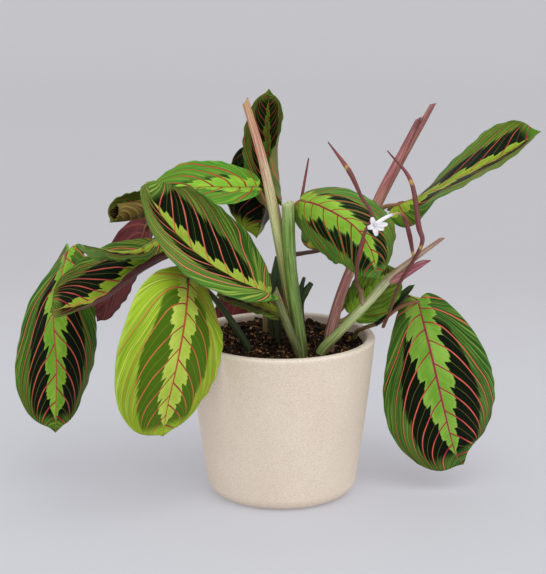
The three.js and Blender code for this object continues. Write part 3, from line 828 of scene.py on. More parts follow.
LOOKS = dict(
    leaf_far_left=dict(
        rib=(190, 84, 70), veins=7, vein=(214, 108, 76), feather_wide=0.27, feather_taper=0.7,
        blotch_end=0.33, ground=(76, 122, 34), streak=(140, 162, 58), feather=(150, 192, 66),
        feather_core=(108, 164, 40), feather_narrow=0.5,
    ),
    leaf_left_folded=dict(
        rib=(226, 110, 90), under=(84, 26, 30), feather_wide=0.22, feather_narrow=0.45,
        blotch_end=0.36,
    ),
    leaf_left_pale=dict(
        under=(112, 158, 72), under_light=(140, 184, 96), under_vein=(150, 176, 98),
    ),
    leaf_front_large=dict(
        rib=(206, 84, 72), feather_wide=0.2, feather_narrow=0.5, blotch_end=0.31,
        vein=(255, 140, 112), vein_core=(220, 90, 82), minor=(150, 160, 70), ground=(94, 140, 46),
        shade=(46, 90, 30), streak=(176, 190, 86), margin=(78, 126, 60), feather=(188, 208, 84),
        feather_core=(146, 178, 50),
    ),
    leaf_scrolled=dict(under=(96, 60, 30), under_light=(118, 112, 46), under_vein=(160, 136, 62)),
    leaf_bright_back=dict(
        rib=(150, 40, 46), veins=6, island=1.0, ground=(88, 156, 44), shade=(54, 122, 34),
        margin=(112, 172, 60), feather=(160, 206, 66), feather_core=(122, 184, 50),
        vein_core=(150, 36, 44), vein=(196, 66, 56), blotch=(28, 66, 24), blotch_end=0.13,
        feather_wide=0.3, vein_width=1.5,
    ),
    leaf_dark_back=dict(
        veins=6, tip=0.8, ground=(30, 50, 24), shade=(20, 36, 18), streak=(52, 72, 30),
        blotch_end=0.5, feather=(60, 92, 30), feather_core=(40, 70, 24), margin=(150, 180, 50),
        vein=(168, 84, 64), vein_core=(140, 60, 50), minor=(80, 80, 40), vein_width=0.8,
        feather_wide=0.12, feather_narrow=0.45, under=(58, 24, 26), under_light=(80, 36, 34),
        under_vein=(112, 56, 48),
    ),
    leaf_upright=dict(
        veins=9, under=(96, 116, 54), under_light=(124, 142, 72), under_vein=(214, 104, 80),
        ground=(84, 122, 40), shade=(40, 76, 32), feather=(122, 158, 50), feather_core=(92, 132, 38),
        feather_wide=0.16, feather_narrow=0.5, blotch_end=0.26, blotch=(20, 38, 12), margin=(60, 104, 52),
    ),
    leaf_right_middle=dict(
        rib=(150, 40, 56), island=0.9, vein_core=(160, 40, 50), vein=(206, 70, 62),
        ground=(76, 138, 50), shade=(44, 104, 38), blotch_end=0.26, feather_wide=0.26,
        feather=(154, 196, 66), feather_core=(116, 172, 46),
    ),
    leaf_upper_right=dict(
        rib=(170, 70, 54), veins=6, vein=(206, 100, 70), ground=(86, 134, 36),
        shade=(52, 96, 24), feather_wide=0.22, feather_narrow=0.45, blotch_end=0.26,
    ),
    leaf_under_stalk=dict(
        rib=(150, 60, 40), ground=(104, 146, 44), shade=(70, 112, 34), feather=(140, 184, 54),
        feather_core=(112, 160, 40), blotch=(60, 40, 20), blotch_end=0.14, vein=(120, 60, 36),
        vein_core=(120, 60, 36), island=1.0,
    ),
    leaf_right_hanging=dict(
        rib=(160, 48, 74), feather_wide=0.3, feather_less=0.05, blotch_end=0.32,
        feather=(150, 192, 78), feather_core=(108, 164, 48), ground=(66, 116, 42), streak=(140, 164, 66),
    ),
    leaf_front_light=dict(
        LIGHT, rib=(190, 76, 60), blotch_end=0.34, blotch_from=0.04,
        blotch=(74, 108, 14), feather_wide=0.25, feather_taper=0.2, margin=(190, 214, 96),
    ),
    leaf_low_small=dict(rib=(200, 90, 70), ground=(96, 140, 50)),
)


def tones(look):
    """A look's colours as linear values."""
    return {key: tint(*value) for key, value in look.items() if isinstance(value, tuple)}


def veined(f, look):
    """The wires that every leaf pattern needs: how far out, which vein cell, and how near a vein.

    In millimetres, span is the way from one vein to the next, near that to the nearest vein, and
    halfway that to the middle between two.
    """
    share, across = f.map()
    order, start = f.map("veins")
    t = across * 2 - 1
    out, right, seed = abs(t), t.above(0), look["seed"] * 3.7
    drift = f.noise(f.vector(share * 3 + right * 9, out * 2, seed), detail=1)
    beat = order * look["veins"] + right * 0.5 + (drift - 0.5) * 0.3
    cell = beat.floor()
    place = beat - cell
    gap = place.least(1 - place)
    span = f.map("spans")[0] * (1 / look["veins"])
    key = f.vector(cell, right, seed)
    chance = f.node("ShaderNodeTexWhiteNoise", None, {"Vector": key})
    return dict(
        share=share, start=start, out=out, right=right, beat=beat, place=place, gap=gap, span=span,
        near=gap * span, halfway=abs(place - 0.5) * span, chance=chance, seed=seed,
    )


def upper_finish(name, look):
    """The upper face: a pale feather along the rib, dark blotches between the veins, coral veins.

    Between two veins the feather reaches out to a ragged end, steps back in, and runs out again as a
    narrow edge beside the next vein.
    """
    f = Finish(name)
    w, tone = veined(f, look), tones(look)
    out, share, start, right = w["out"], w["share"], w["start"], w["right"]
    beat, place, gap, chance, seed = w["beat"], w["place"], w["gap"], w["chance"], w["seed"]
    rows = f.noise(f.vector(beat * 9, share * 2.5, seed), detail=3, rough=0.6)
    fine = f.noise(f.vector(beat * 36, share * 3, seed), detail=2)
    fingers = f.noise(f.vector(beat * 7, 0.0, seed + 2), detail=2, rough=0.6)
    broad = f.noise(f.vector(share * 5, out * 3 + right * 7, seed + 5), detail=2)

    # The feather: how far out it ends, and the paler rim along that end
    step = look["feather_step"] + (chance - 0.5) * 0.1
    wide = look["feather_wide"] + (chance - 0.5) * 0.09 + (fingers - 0.5) * 0.16
    wide = wide - right * look["feather_less"]
    past = ((place - step) / (1 - step)).most(0.0)
    narrow = wide * (past * (1 - look["feather_narrow"]) + look["feather_narrow"])
    edge = wide + (narrow - wide) * (place - step).rise(-0.16, 0.06)
    edge = edge * ((0.46 - share) * look["feather_taper"] + 1).most(0.4) * share.rise(0.95, 0.8)
    feather = (out - edge).rise(0.012, -0.012)
    rim = (out - edge).rise(-0.06, 0.0)

    # The dark blotches, from where their vein starts to a ragged end
    reach = (chance - 0.5) * 0.06 + look["blotch_end"] + (rows - 0.5) * 0.22 + (fine - 0.5) * 0.1
    blotch = (share - start - reach * start.rise(-0.05, 0.3)).rise(0.015, -0.015)
    ends = start.rise(look["blotch_from"], look["blotch_from"] + 0.05) * share.rise(0.95, 0.88)
    inside = gap.rise(0.07, 0.17) * (out - edge).rise(0.0, 0.06)
    blotch = blotch * ends * (inside * look["island"] + (1 - look["island"]))

    # The ground with its streaks and margin, painted shade in the hollows beside the veins, the blotches
    # and feather on it
    ground = f.mix((rows * 0.5 + fine * 0.6).rise(0.42, 0.66), tone["shade"], tone["ground"])
    lines = f.noise(f.vector(beat * 22, share * 2, seed + 8), detail=1)
    ground = f.mix(lines.rise(0.55, 0.61) * 0.75, ground, tone["streak"])
    # Painted shade: the ground darkens beside each vein, in the hollows of the quilting
    ground = f.mix(w["near"].rise(2.4, 0.3) * 0.45, ground, tone["shade"])
    ground = f.mix(out.rise(0.93, 1.0) * 0.6, ground, tone["margin"])
    dark = f.mix(fine.rise(0.5, 0.75) * 0.3, tone["blotch"], tone["shade"])
    colour = f.mix(blotch, ground, dark)
    tip = (share + (rows - 0.5) * 0.2).rise(0.82, 0.9) * look["tip"]
    colour = f.mix(tip, colour, tone["margin"])
    core = (broad * 0.6 + fine * 0.5 - 0.05).rise(0.35, 0.65) * (1 - rim * 0.8)
    pale = f.mix(core, tone["feather"], tone["feather_core"])
    colour = f.mix(feather, colour, pale)

    # The veins: faint ones halfway, coral ones that pale towards the margin, and the rib
    minor = w["halfway"].rise(0.32, 0.05) * out.rise(0.85, 0.4) * (0.5 - blotch * 0.2)
    colour = f.mix(minor, colour, tone["minor"])
    thick = ((0.44 - out * 0.18) * look["vein_width"]).least(w["span"] * 0.06)
    crowded = w["span"].rise(3, 8) * 0.6 + 0.4
    vein = (w["near"] - thick).rise(0.16, -0.08) * share.rise(1.0, 0.95) * crowded
    line = f.mix(out.rise(0.12, 0.42), tone["vein_core"], tone["vein"])
    line = f.mix(out.rise(0.88, 1.0) * 0.7, line, tone["minor"])
    colour = f.mix(vein * out.rise(1.02, 0.94), colour, line)
    middle = (out - (1.15 - share) * 0.025).rise(0.012, -0.006)
    colour = f.mix(middle, colour, tone["rib"])

    grain = f.noise(f.place(), scale=900, detail=3)
    height = vein * -0.6 + fine * 0.5 + rows * 0.4 + grain * 0.25 - middle * 0.6
    return f.done(
        Base_Color=colour,
        Roughness=broad * 0.16 + 0.36,
        Normal=f.bump(height, 0.0005, 0.7),
        Specular_IOR_Level=0.07,
        Subsurface_Weight=0.04,
        Subsurface_Radius=(0.0008, 0.002, 0.0004),
        Subsurface_Scale=1.0,
    )


def under_finish(name, look):
    """The under face: dark, with raised paler veins and a satin bloom."""
    f = Finish(name)
    w, tone = veined(f, look), tones(look)
    out, beat, seed = w["out"], w["beat"], w["seed"]
    fine = f.noise(f.vector(beat * 30, w["share"] * 2.5, seed), detail=2)
    broad = f.noise(f.vector(beat * 2, out * 3, seed + 4), detail=3)
    ground = f.mix((broad - 0.5).rise(-0.2, 0.25), tone["under"], tone["under_light"])
    ground = f.mix((fine - 0.5).rise(-0.1, 0.4) * 0.35, ground, tone["under_vein"])
    vein = (w["near"] - 0.5).rise(0.2, -0.06) * out.rise(1.0, 0.85)
    colour = f.mix(vein * 0.75, ground, tone["under_vein"])
    middle = (out - (1.2 - w["share"]) * 0.035).rise(0.015, -0.006)
    colour = f.mix(middle * 0.8, colour, tone["under_vein"])
    grain = f.noise(f.place(), scale=1100, detail=3)
    height = vein * 0.9 + middle + fine * 0.4 + grain * 0.3
    return f.done(
        Base_Color=colour,
        Roughness=broad * 0.15 + 0.45,
        Normal=f.bump(height, 0.0005, 0.6),
        Specular_IOR_Level=0.25,
    )


def stem_finish(name, stops, streak):
    """A stem or stalk coloured along its length, with fine lengthwise streaks and small spots."""
    f = Finish(name)
    along, _ = f.map()
    place = f.place()
    side, front = f.map("veins")
    lines = f.noise(f.vector(side * 4.5, front * 4.5, along * 5), detail=3, rough=0.6)
    blur = f.noise(place, scale=90, detail=2)
    shifted = along + (blur - 0.5) * 0.12
    ramp = [(at, tint(*level)) for at, level in stops]
    base = f.node("ShaderNodeValToRGB", {"stops": ramp}, {"Fac": shifted})
    pale = f.noise(f.vector(side * 2.6, front * 2.6, along * 3 + 9), detail=2)
    bright = [min(255, PALE_STREAK * level) for level in stops[len(stops) // 2][1]]
    colour = f.mix(pale.rise(0.5, 0.62) * 0.3, base, tint(*bright))
    colour = f.mix((lines - 0.5).rise(-0.02, 0.14) * 0.7, colour, tint(*streak))
    spots = f.noise(place, scale=520, detail=2).rise(0.62, 0.7)
    colour = f.mix(spots * 0.3, colour, tint(*streak))
    return f.done(
        Base_Color=colour,
        Roughness=blur * 0.2 + 0.32,
        Normal=f.bump(lines, 0.0006, 0.5),
        Specular_IOR_Level=0.42,
        Subsurface_Weight=0.05,
        Subsurface_Radius=(0.001, 0.001, 0.0005),
        Subsurface_Scale=1.0,
    )


# Stems, pot, soil and flower


def rough_ring(angle, seed, amount):
    """A ragged edge: uneven heights round a torn mouth."""
    rng = np.random.default_rng(seed)
    waves = [(k, rng.uniform(0, 6.28), rng.uniform(0.4, 1)) for k in (2, 3, 5, 7, 11)]
    return amount * sum(a * np.sin(k * angle + p) / k**0.4 for k, p, a in waves)


def grow_stem(shape, stem, finish, sides, steps, seed):
    """A shoot's stem: lightly ridged, with a torn mouth that is hollow to the given depth."""
    places, along = catmull(stem["route"], steps)
    radius = spread_radii(stem["radii"], steps + 1)
    hollow = stem.get("hollow", 0)
    across = np.array([1.0, 0, 0])
    angle = 2 * np.pi * np.arange(sides) / sides
    bows = stem.get("lip", 0) * (1 + np.cos(angle)) / 2 + rough_ring(angle, seed, stem.get("ragged", 0))
    rings, shares = [], []
    for i in range(steps + 1):
        across = unit(across - along[i] * (along[i] @ across))
        other = np.cross(along[i], across)
        share = i / steps
        ridge = STEM_RIDGE * np.sin(3 * angle + seed + share * 2) + STEM_RIB * np.sin(7 * angle + 9 * share)
        drawn = max(0.0, 1 - (1 - share) * 5) ** 2 * bows
        circle = np.cos(angle)[:, None] * across + np.sin(angle)[:, None] * other
        rings.append(places[i] + (radius[i] * (1 + ridge))[:, None] * circle + drawn[:, None] * along[i])
        shares.append(share)
    wall = 0.3 + 0.12 * radius[-1]
    for depth, pull in MOUTH_RINGS if hollow else ():
        inward = places[-1] - depth * hollow * along[-1] + (radius[-1] - wall * pull) * circle
        rings.append(inward + drawn[:, None] * along[-1] * (1 - depth))
        shares.append(1.0)
    count = len(rings)
    faces = grid_faces(count - 1, sides, wrap=True).tolist()
    faces.append(list(range(sides))[::-1])
    faces.append(list(range((count - 1) * sides, count * sides)))
    round_map = np.tile(np.c_[angle / (2 * np.pi), np.cos(angle), np.sin(angle)], (count, 1))
    shape.add(np.vstack(rings), faces, np.c_[np.repeat(shares, sides), round_map], finish)


def side_radius(z):
    """The pot's outer radius at a height."""
    q = z / POT_HEIGHT
    return POT_BASE_RADIUS + (POT_RADIUS - POT_BASE_RADIUS) * q + POT_SWELL * 4 * q * (1 - q)


def arc(x, y, r, first, last, steps):
    """Points on a circle about x, y from one angle to another, in degrees."""
    angle = np.radians(np.linspace(first, last, steps + 1))
    return np.c_[x + r * np.cos(angle), y + r * np.sin(angle)]


def lathe(profile, sides):
    """A closed surface turned round the Z axis. The profile starts and ends on the axis."""
    angle = 2 * np.pi * np.arange(sides) / sides
    inner = profile[1:-1]
    r, z = inner[:, 0, None], inner[:, 1, None]
    rings = np.stack([r * np.cos(angle), r * np.sin(angle), z + 0 * angle], -1).reshape(-1, 3)
    places = np.vstack([rings, [[0, 0, profile[0, 1]], [0, 0, profile[-1, 1]]]])
    faces = grid_faces(len(inner) - 1, sides, wrap=True).tolist()
    low, high = len(rings), len(rings) + 1
    last = (len(inner) - 1) * sides
    for k in range(sides):
        faces.append([low, (k + 1) % sides, k])
        faces.append([high, last + k, last + (k + 1) % sides])
    return places, faces


def pot_profile():
    """The pot's outline from the middle of its base, up the outside, over the rim and down inside."""
    lean = math.degrees(math.atan2(side_radius(20) - side_radius(0), 20))
    flat = POT_BASE_RADIUS - POT_FOOT_ROUND / math.tan(math.radians((90 + lean) / 2))
    rim = POT_HEIGHT - POT_RIM_ROUND
    inner_foot = side_radius(POT_FLOOR) - POT_WALL - POT_INNER_ROUND
    up = np.linspace(0.14, 0.96, 24) * POT_HEIGHT
    down = np.linspace(0.95, 0.2, 16) * POT_HEIGHT
    return np.vstack(
        [
            [[0, 0], [flat * 0.5, 0]],
            arc(flat, POT_FOOT_ROUND, POT_FOOT_ROUND, -90, -lean, 12),
            np.c_[side_radius(up), up],
            arc(POT_RADIUS - POT_RIM_ROUND, rim, POT_RIM_ROUND, 0, 90, 8),
            arc(POT_RADIUS - POT_WALL + POT_RIM_ROUND, rim, POT_RIM_ROUND, 90, 180, 8),
            np.c_[side_radius(down) - POT_WALL, down],
            arc(inner_foot, POT_FLOOR + POT_INNER_ROUND, POT_INNER_ROUND, -lean, -90, 8),
            [[0, POT_FLOOR]],
        ]
    )


def soil_height(x, y):
    """The soil's upper surface: a slight slope with two gentle waves."""
    waves = 0.9 * np.sin(0.21 * x + 1) * np.cos(0.17 * y) + 0.5 * np.sin(0.37 * y - 0.2 * x)
    return SOIL_TOP + 0.05 * y - 0.03 * x + waves


def soil_profile():
    """The soil's outline from its underside, up the pot's inner side and in to the middle."""
    low = POT_FLOOR + SOIL_LIFT
    foot = side_radius(POT_FLOOR) - POT_WALL - POT_INNER_ROUND - SOIL_LIFT
    up = np.linspace(0.25, SOIL_TOP / POT_HEIGHT, 12) * POT_HEIGHT
    edge = side_radius(SOIL_TOP) - POT_WALL - SOIL_GAP
    inwards = np.linspace(edge, 0, 40)[1:]
    return np.vstack(
        [
            [[0, low]],
            arc(foot, low + POT_INNER_ROUND, POT_INNER_ROUND, -90, -8, 4),
            np.c_[side_radius(up) - POT_WALL - SOIL_GAP, up],
            np.c_[inwards, np.full(len(inwards), SOIL_TOP)],
        ]
    )


def soil_top(edge):
    """The plain upper surface that the crumbs lie on, as an object."""
    reach = np.linspace(-edge, edge, SOIL_STEPS + 1)
    x, y = np.meshgrid(reach, reach, indexing="ij")
    places = np.stack([x, y, soil_height(x, y)], -1).reshape(-1, 3)
    quads = grid_faces(SOIL_STEPS, SOIL_STEPS)
    kept = quads[np.hypot(*places[quads].mean(1)[:, :2].T) < edge]
    mesh = bpy.data.meshes.new("soil_top")
    mesh.from_pydata(places * MM, [], kept.tolist())
    return placed("soil_top", mesh)


def one_fibre(g):
    """A short bent thread, one unit long."""
    ends = {"Start": (-0.5, 0, 0), "Middle": (0.0, 0.35, 0.1), "End": (0.5, 0, 0)}
    line = g.node("GeometryNodeCurveQuadraticBezier", None, {"Resolution": 7, **ends})
    ring = g.node("GeometryNodeCurvePrimitiveCircle", None, {"Resolution": 5, "Radius": 0.022})
    inputs = {"Curve": line, "Profile Curve": ring, "Fill Caps": True}
    return g.node("GeometryNodeCurveToMesh", None, inputs)


def one_crumb(g):
    """A ball of radius one, pushed out of round."""
    ball = g.node("GeometryNodeMeshIcoSphere", None, {"Radius": 1.0, "Subdivisions": 2})
    place = g.node("GeometryNodeInputPosition")
    lump = g.node("ShaderNodeTexNoise", None, {"Vector": place, "Scale": 1.4, "Detail": 1.0}, out="Color")
    centred = g.node("ShaderNodeVectorMath", {"operation": "SUBTRACT"}, {0: lump, 1: (0.5, 0.5, 0.5)})
    push = g.node("ShaderNodeVectorMath", {"operation": "SCALE"}, {0: centred, "Scale": 1.1})
    return g.node("GeometryNodeSetPosition", None, {"Geometry": ball, "Offset": push})


def scatter(name, thing, base, count, ends, turns, seed, material):
    """Geometry Nodes: a thing scattered over a surface, at random sizes and turns."""
    g = Growth(name)
    density = g.size("Density", count)
    smallest = g.size("Smallest", ends[0])
    largest = g.size("Largest", ends[1])
    pick = g.size("Seed", seed, "NodeSocketInt")
    inputs = {"Mesh": g.start(), "Density": density, "Seed": pick}
    points = g.node("GeometryNodeDistributePointsOnFaces", None, inputs, out="Points")
    inputs = {2: smallest, 3: largest, "Seed": pick}
    scale = g.node("FunctionNodeRandomValue", {"data_type": "FLOAT"}, inputs, out=1)
    inputs = {0: (0.0, 0.0, 0.0), 1: turns}
    turn = g.node("FunctionNodeRandomValue", {"data_type": "FLOAT_VECTOR"}, inputs)
    inputs = {"Points": points, "Instance": thing(g), "Rotation": turn, "Scale": scale}
    many = g.node("GeometryNodeInstanceOnPoints", None, inputs)
    g.end(many, material)
    return g.grow(base)


# Finishes of the stems, the pot, the soil and the flower

STALK_STREAK = (142, 84, 74)
STEM_LOOKS = dict(  # the colours along a stem, with where each lies, and the colour of its streaks
    tall=(
        [
            (0, (58, 60, 42)), (0.2, (84, 90, 48)), (0.4, (130, 146, 64)), (0.58, (178, 190, 114)),
            (0.72, (214, 184, 148)), (0.84, (208, 138, 120)), (0.95, (204, 144, 116)),
            (1, (198, 158, 106)),
        ],
        (142, 104, 72),
    ),
    cut=(
        [
            (0, (58, 52, 36)), (0.2, (86, 92, 48)), (0.5, (108, 132, 60)), (0.9, (124, 156, 76)),
            (0.97, (170, 186, 120)), (1, (214, 214, 166)),
        ],
        (54, 74, 30),
    ),
    short=(
        [(0, (58, 56, 38)), (0.35, (94, 98, 58)), (0.85, (122, 130, 80)), (1, (140, 136, 96))],
        (60, 62, 38),
    ),
    left=([(0, (56, 58, 30)), (0.5, (78, 78, 44)), (1, (96, 70, 50))], (40, 36, 24)),
    pink=(
        [(0, (104, 84, 62)), (0.25, (128, 86, 78)), (0.6, (164, 102, 98)), (1, (130, 72, 76))],
        (206, 168, 142),
    ),
    sheath=(
        [
            (0, (200, 178, 136)), (0.22, (186, 146, 116)), (0.4, (158, 94, 92)), (0.7, (146, 80, 86)),
            (1, (100, 46, 58)),
        ],
        (206, 152, 136),
    ),
    flowering=(
        [
            (0, (70, 92, 36)), (0.12, (118, 140, 64)), (0.35, (152, 172, 94)), (0.6, (192, 204, 142)),
            (0.74, (198, 198, 152)), (0.79, (172, 142, 114)), (0.84, (198, 170, 142)),
            (1, (158, 100, 98)),
        ],
        (112, 132, 66),
    ),
    bract=([(0, (186, 140, 120)), (0.5, (150, 80, 92)), (1, (104, 44, 62))], (206, 150, 150)),
    left_stalk=(
        [
            (0, (206, 176, 160)), (0.1, (160, 104, 98)), (0.25, (108, 46, 50)), (0.835, (98, 40, 42)),
            (0.85, (220, 190, 80)), (0.862, (140, 60, 60)), (1, (84, 36, 42)),
        ],
        STALK_STREAK,
    ),
    thin=([(0, (96, 44, 44)), (0.5, (140, 64, 72)), (1, (84, 36, 42))], (176, 110, 104)),
    stalk=(
        [
            (0, (112, 74, 52)), (0.51, (100, 44, 46)), (0.53, (222, 190, 80)), (0.55, (110, 46, 50)),
            (0.8, (100, 44, 46)), (0.825, (216, 180, 80)), (0.845, (130, 60, 64)), (1, (90, 40, 48)),
        ],
        STALK_STREAK,
    ),
    side_stalk=(
        [
            (0, (104, 48, 48)), (0.05, (218, 188, 90)), (0.1, (108, 46, 48)), (0.7, (100, 44, 46)),
            (0.86, (176, 160, 84)), (1, (206, 202, 116)),
        ],
        STALK_STREAK,
    ),
    dark=([(0, (34, 42, 22)), (0.5, (40, 58, 24)), (1, (60, 86, 34))], (24, 32, 16)),
)
PETIOLES = dict(  # a leaf stalk's colour low down and high up
    plain=((112, 116, 56), (146, 92, 62)),
    leaf_front_light=((54, 64, 40), (74, 92, 52)),
    leaf_rear_middle=((88, 60, 46), (84, 50, 42)),
)


def pot_finish(colours):
    """Matte cream stoneware: faint specks, throwing lines and a rim lightened by a painted highlight."""
    f = Finish("stoneware")
    place = f.place()
    z = f.parts(place).of("Z")
    cloud = f.noise(place, scale=26, detail=4, rough=0.6)
    grain = f.noise(place, scale=1400, detail=2)
    specks = f.noise(place, scale=750, detail=1).rise(0.68, 0.74)
    colour = f.mix((cloud - 0.5).rise(-0.25, 0.25), colours.body, colours.body_light)
    # Painted highlight: towards the rim the wall takes the rim's lighter colour, where light catches its
    # edge
    colour = f.mix(z.rise(RIM_HIGHLIGHT_START, RIM_HIGHLIGHT_FULL) * 0.5, colour, colours.rim)
    colour = f.mix((grain - 0.5).rise(-0.15, 0.18) * 0.3, colour, colours.grain)
    colour = f.mix(specks * 0.12, colour, colours.specks)
    lines = f.noise(f.vector(0, 0, z * 420), detail=2)
    height = grain * 0.7 + lines * 0.35 + cloud * 0.5
    return f.done(
        Base_Color=colour,
        Roughness=cloud * 0.2 + 0.55,
        Normal=f.bump(height, 0.0003, 0.35),
        Specular_IOR_Level=0.35,
    )


def soil_finish(colours):
    """Dark moist crumbs, each in its own brown."""
    f = Finish("soil")
    place = f.place()
    broad = f.noise(place, scale=210, detail=4, rough=0.65)
    fine = f.noise(place, scale=1100, detail=4, rough=0.7)
    pale = f.noise(place, scale=330, detail=3).rise(0.58, 0.66)
    colour = f.mix(broad.rise(0.4, 0.64), colours.dark, colours.brown)
    colour = f.mix(pale * 0.8, colour, colours.pale)
    return f.done(
        Base_Color=colour,
        Roughness=fine * 0.3 + 0.6,
        Normal=f.bump(fine + broad, 0.0012, 0.8),
        Specular_IOR_Level=0.12,
    )


def fibre_finish(colours):
    """Short orange-brown and tan fibres."""
    f = Finish("fibre")
    place = f.place()
    each = f.noise(place, scale=60, detail=1)
    fine = f.noise(place, scale=900, detail=2)
    colour = f.mix(each.rise(0.4, 0.6), colours.fibre, colours.fibre_pale)
    return f.done(Base_Color=colour, Roughness=fine * 0.2 + 0.6, Normal=f.bump(fine, 0.0005, 0.6))


def petal_finish(colours):
    """White petals, faintly lilac at the throat."""
    f = Finish("petal")
    share, across = f.map()
    fine = f.noise(f.vector(share * 3, across * 40), detail=3)
    colour = f.mix(share.rise(0.4, 0.0), colours.petal, colours.throat)
    colour = f.mix((fine - 0.5).rise(0.0, 0.4) * 0.3, colour, colours.throat)
    return f.done(
        Base_Color=colour,
        Roughness=fine * 0.2 + 0.4,
        Normal=f.bump(fine, 0.0003, 0.4),
        Subsurface_Weight=0.2,
        Subsurface_Radius=(0.001, 0.001, 0.001),
        Subsurface_Scale=1.0,
    )


def glowing_floor_finish(colours):
    """The plain pale floor, a little darker towards the back, glowing faintly in its own colour: painted
    light that lightens the shadows cast on it.
    """
    f = Finish("floor")
    place = f.place()
    cloud = f.noise(place, scale=3, detail=2)
    back = f.parts(place).of("Y").rise(0.0, WALL_SHADE)
    colour = f.mix(back + (cloud - 0.5) * 0.1, colours.floor, colours.wall)
    return f.done(
        Base_Color=colour,
        Roughness=cloud * 0.1 + 0.6,
        Specular_IOR_Level=0.2,
        # Painted light: the floor glows in its own colour, so the shadows cast on it stay light
        Emission_Color=colour,
        Emission_Strength=0.5,
    )


# Settings


def size(name, description, default):
    return FloatProperty(name=name, description=description, default=default)


def count(name, description, default, least):
    return IntProperty(name=name, description=description, default=default, min=least)


def colour(name, description, *rgb):
    value = tint(*rgb)
    return FloatVectorProperty(
        name=name, description=description, default=value, subtype="COLOR", min=0, max=1
    )


class LeafSettings(PropertyGroup):
    """How finely the leaves are made and how thick they are."""

    rows: count("Rows", "Steps along a leaf", 104, 8)
    columns: count("Columns", "Steps across a leaf", 64, 8)
    thickness: size("Thickness", "Thickness of a blade in millimetres", 0.7)
    quilt: size("Quilting", "How far a blade rises between its side veins, in millimetres", 0.35)
    rib: size("Rib", "How far the rib stands out below a blade, in millimetres", 1.0)
    groove: size("Groove", "How deep the rib lies on the upper face, in millimetres", 0.5)
    ruffle: size("Ruffle", "How far the margin waves, in millimetres", 0.5)
    stalk_sides: count("Stalk sides", "Facets round a leaf's stalk", 12, 3)


class PetalSizes:
    """The sizes that a petal or a sheath uses in place of a leaf's."""

    rows, columns, thickness, quilt, rib, groove, ruffle = 20, 12, 0.6, 0.1, 0.0, 0.1, 0.2


class StemSettings(PropertyGroup):
    """How finely the stems are made."""

    sides: count("Sides", "Facets round a stem", 28, 3)
    steps: count("Steps", "Steps along a stem", 90, 4)
    young: size("Young shoots", "How thick the young shoots are, as a share of their usual radius", 1.25)


class PotSettings(PropertyGroup):
    """The pot's facets and colours."""

    sides: count("Sides", "Facets round the pot", 160, 16)
    body: colour("Body", "The stoneware's colour", 238, 221, 202)
    body_light: colour("Light body", "The stoneware's lighter clouds", 244, 228, 210)
    # The rim's colour is a painted highlight, lighter than the body
    rim: colour("Rim", "The rim's edge", 247, 236, 220)
    grain: colour("Grain", "The fine darker grain of the clay", 178, 154, 130)
    specks: colour("Specks", "The fine specks", 150, 128, 108)


class SoilSettings(PropertyGroup):
    """The soil's crumbs and colours."""

    crumbs: size("Crumbs", "Small crumbs per square metre", 150000.0)
    lumps: size("Lumps", "Larger crumbs per square metre", 30000.0)
    fibres: size("Fibres", "Fibres per square metre", 14000.0)
    seed: count("Seed", "Seed of the scattering", 4, 0)
    dark: colour("Dark", "The darkest crumbs", 10, 6, 4)
    brown: colour("Brown", "The browner crumbs", 66, 44, 26)
    pale: colour("Pale", "Scattered pale grains", 206, 152, 90)
    fibre: colour("Fibre", "Orange-brown fibres", 156, 92, 48)
    fibre_pale: colour("Pale fibre", "Tan fibres", 196, 158, 112)


class FlowerSettings(PropertyGroup):
    """The flower's size and colours."""

    length: size("Petals", "How long the petals are, as a share of their usual length", 1.0)
    petal: colour("Petal", "The petals' colour", 244, 241, 244)
    throat: colour("Throat", "The flower's middle", 214, 204, 226)


class StageSettings(PropertyGroup):
    """The floor, the lights and the camera."""

    # The floor's colour is also the colour it glows with, painted light that lightens its shadows
    floor: colour("Floor", "The floor's colour", 172, 172, 177)
    wall: colour("Backdrop", "The far part of the floor's sweep", 159, 158, 161)
    key: size("Key light", "Strength of the soft light in front on the right", 0.95)
    fill: size("Fill light", "Strength of the softer light in front on the left", 0.2)
    sky: size("Surrounding light", "Strength of the even light from all round", 0.85)
    lens: size("Lens", "Focal length of the camera in millimetres", 116.74)


class PlantSettings(PropertyGroup):
    """All settings of the potted plant."""

    leaves: PointerProperty(type=LeafSettings)
    stems: PointerProperty(type=StemSettings)
    pot: PointerProperty(type=PotSettings)
    soil: PointerProperty(type=SoilSettings)
    flower: PointerProperty(type=FlowerSettings)
    stage: PointerProperty(type=StageSettings)


# Operators

LIGHT_LEAVES = ("leaf_front_light", "leaf_bright_back", "leaf_low_small")


def stem_material(name):
    stops, streak = STEM_LOOKS[name]
    return stem_finish("stem_" + name, stops, streak)


class PLANT_OT_leaves(Operator):
    """Makes the leaves, each with its stalk"""

    bl_idname = "plant.leaves"
    bl_label = "Leaves"

    def execute(self, context):
        sizes = context.scene.plant.leaves
        shared = {}
        for seed, (name, leaf) in enumerate(LEAVES.items(), 1):
            look = {**LEAF_LOOK, **LOOKS.get(name, {}), "seed": seed}
            shape = Shape(name)
            faces = [upper_finish(name + "_upper", look), under_finish(name + "_under", look)]
            grow_blade(shape, leaf, look, sizes, faces)
            if "sheath" in leaf:
                dark = stem_material("dark")
                grow_blade(shape, leaf["sheath"], look, PetalSizes, [dark, dark])
            kind = name if name in PETIOLES else "plain"
            if kind not in shared:
                low, high = PETIOLES[kind]
                shared[kind] = stem_finish("petiole_" + kind, [(0, low), (0.75, high), (1, high)], low)
            radii = [*leaf.get("stalk_radii", STALK_RADII), STALK_END]
            tube = grow_tube(name + "_stalk", stalk_route(leaf), radii, shared[kind], sizes.stalk_sides)
            shape.add_mesh(tube, shared[kind])
            shape.make(name, slot="light_leaf" if name in LIGHT_LEAVES else "leaf")
        return {"FINISHED"}


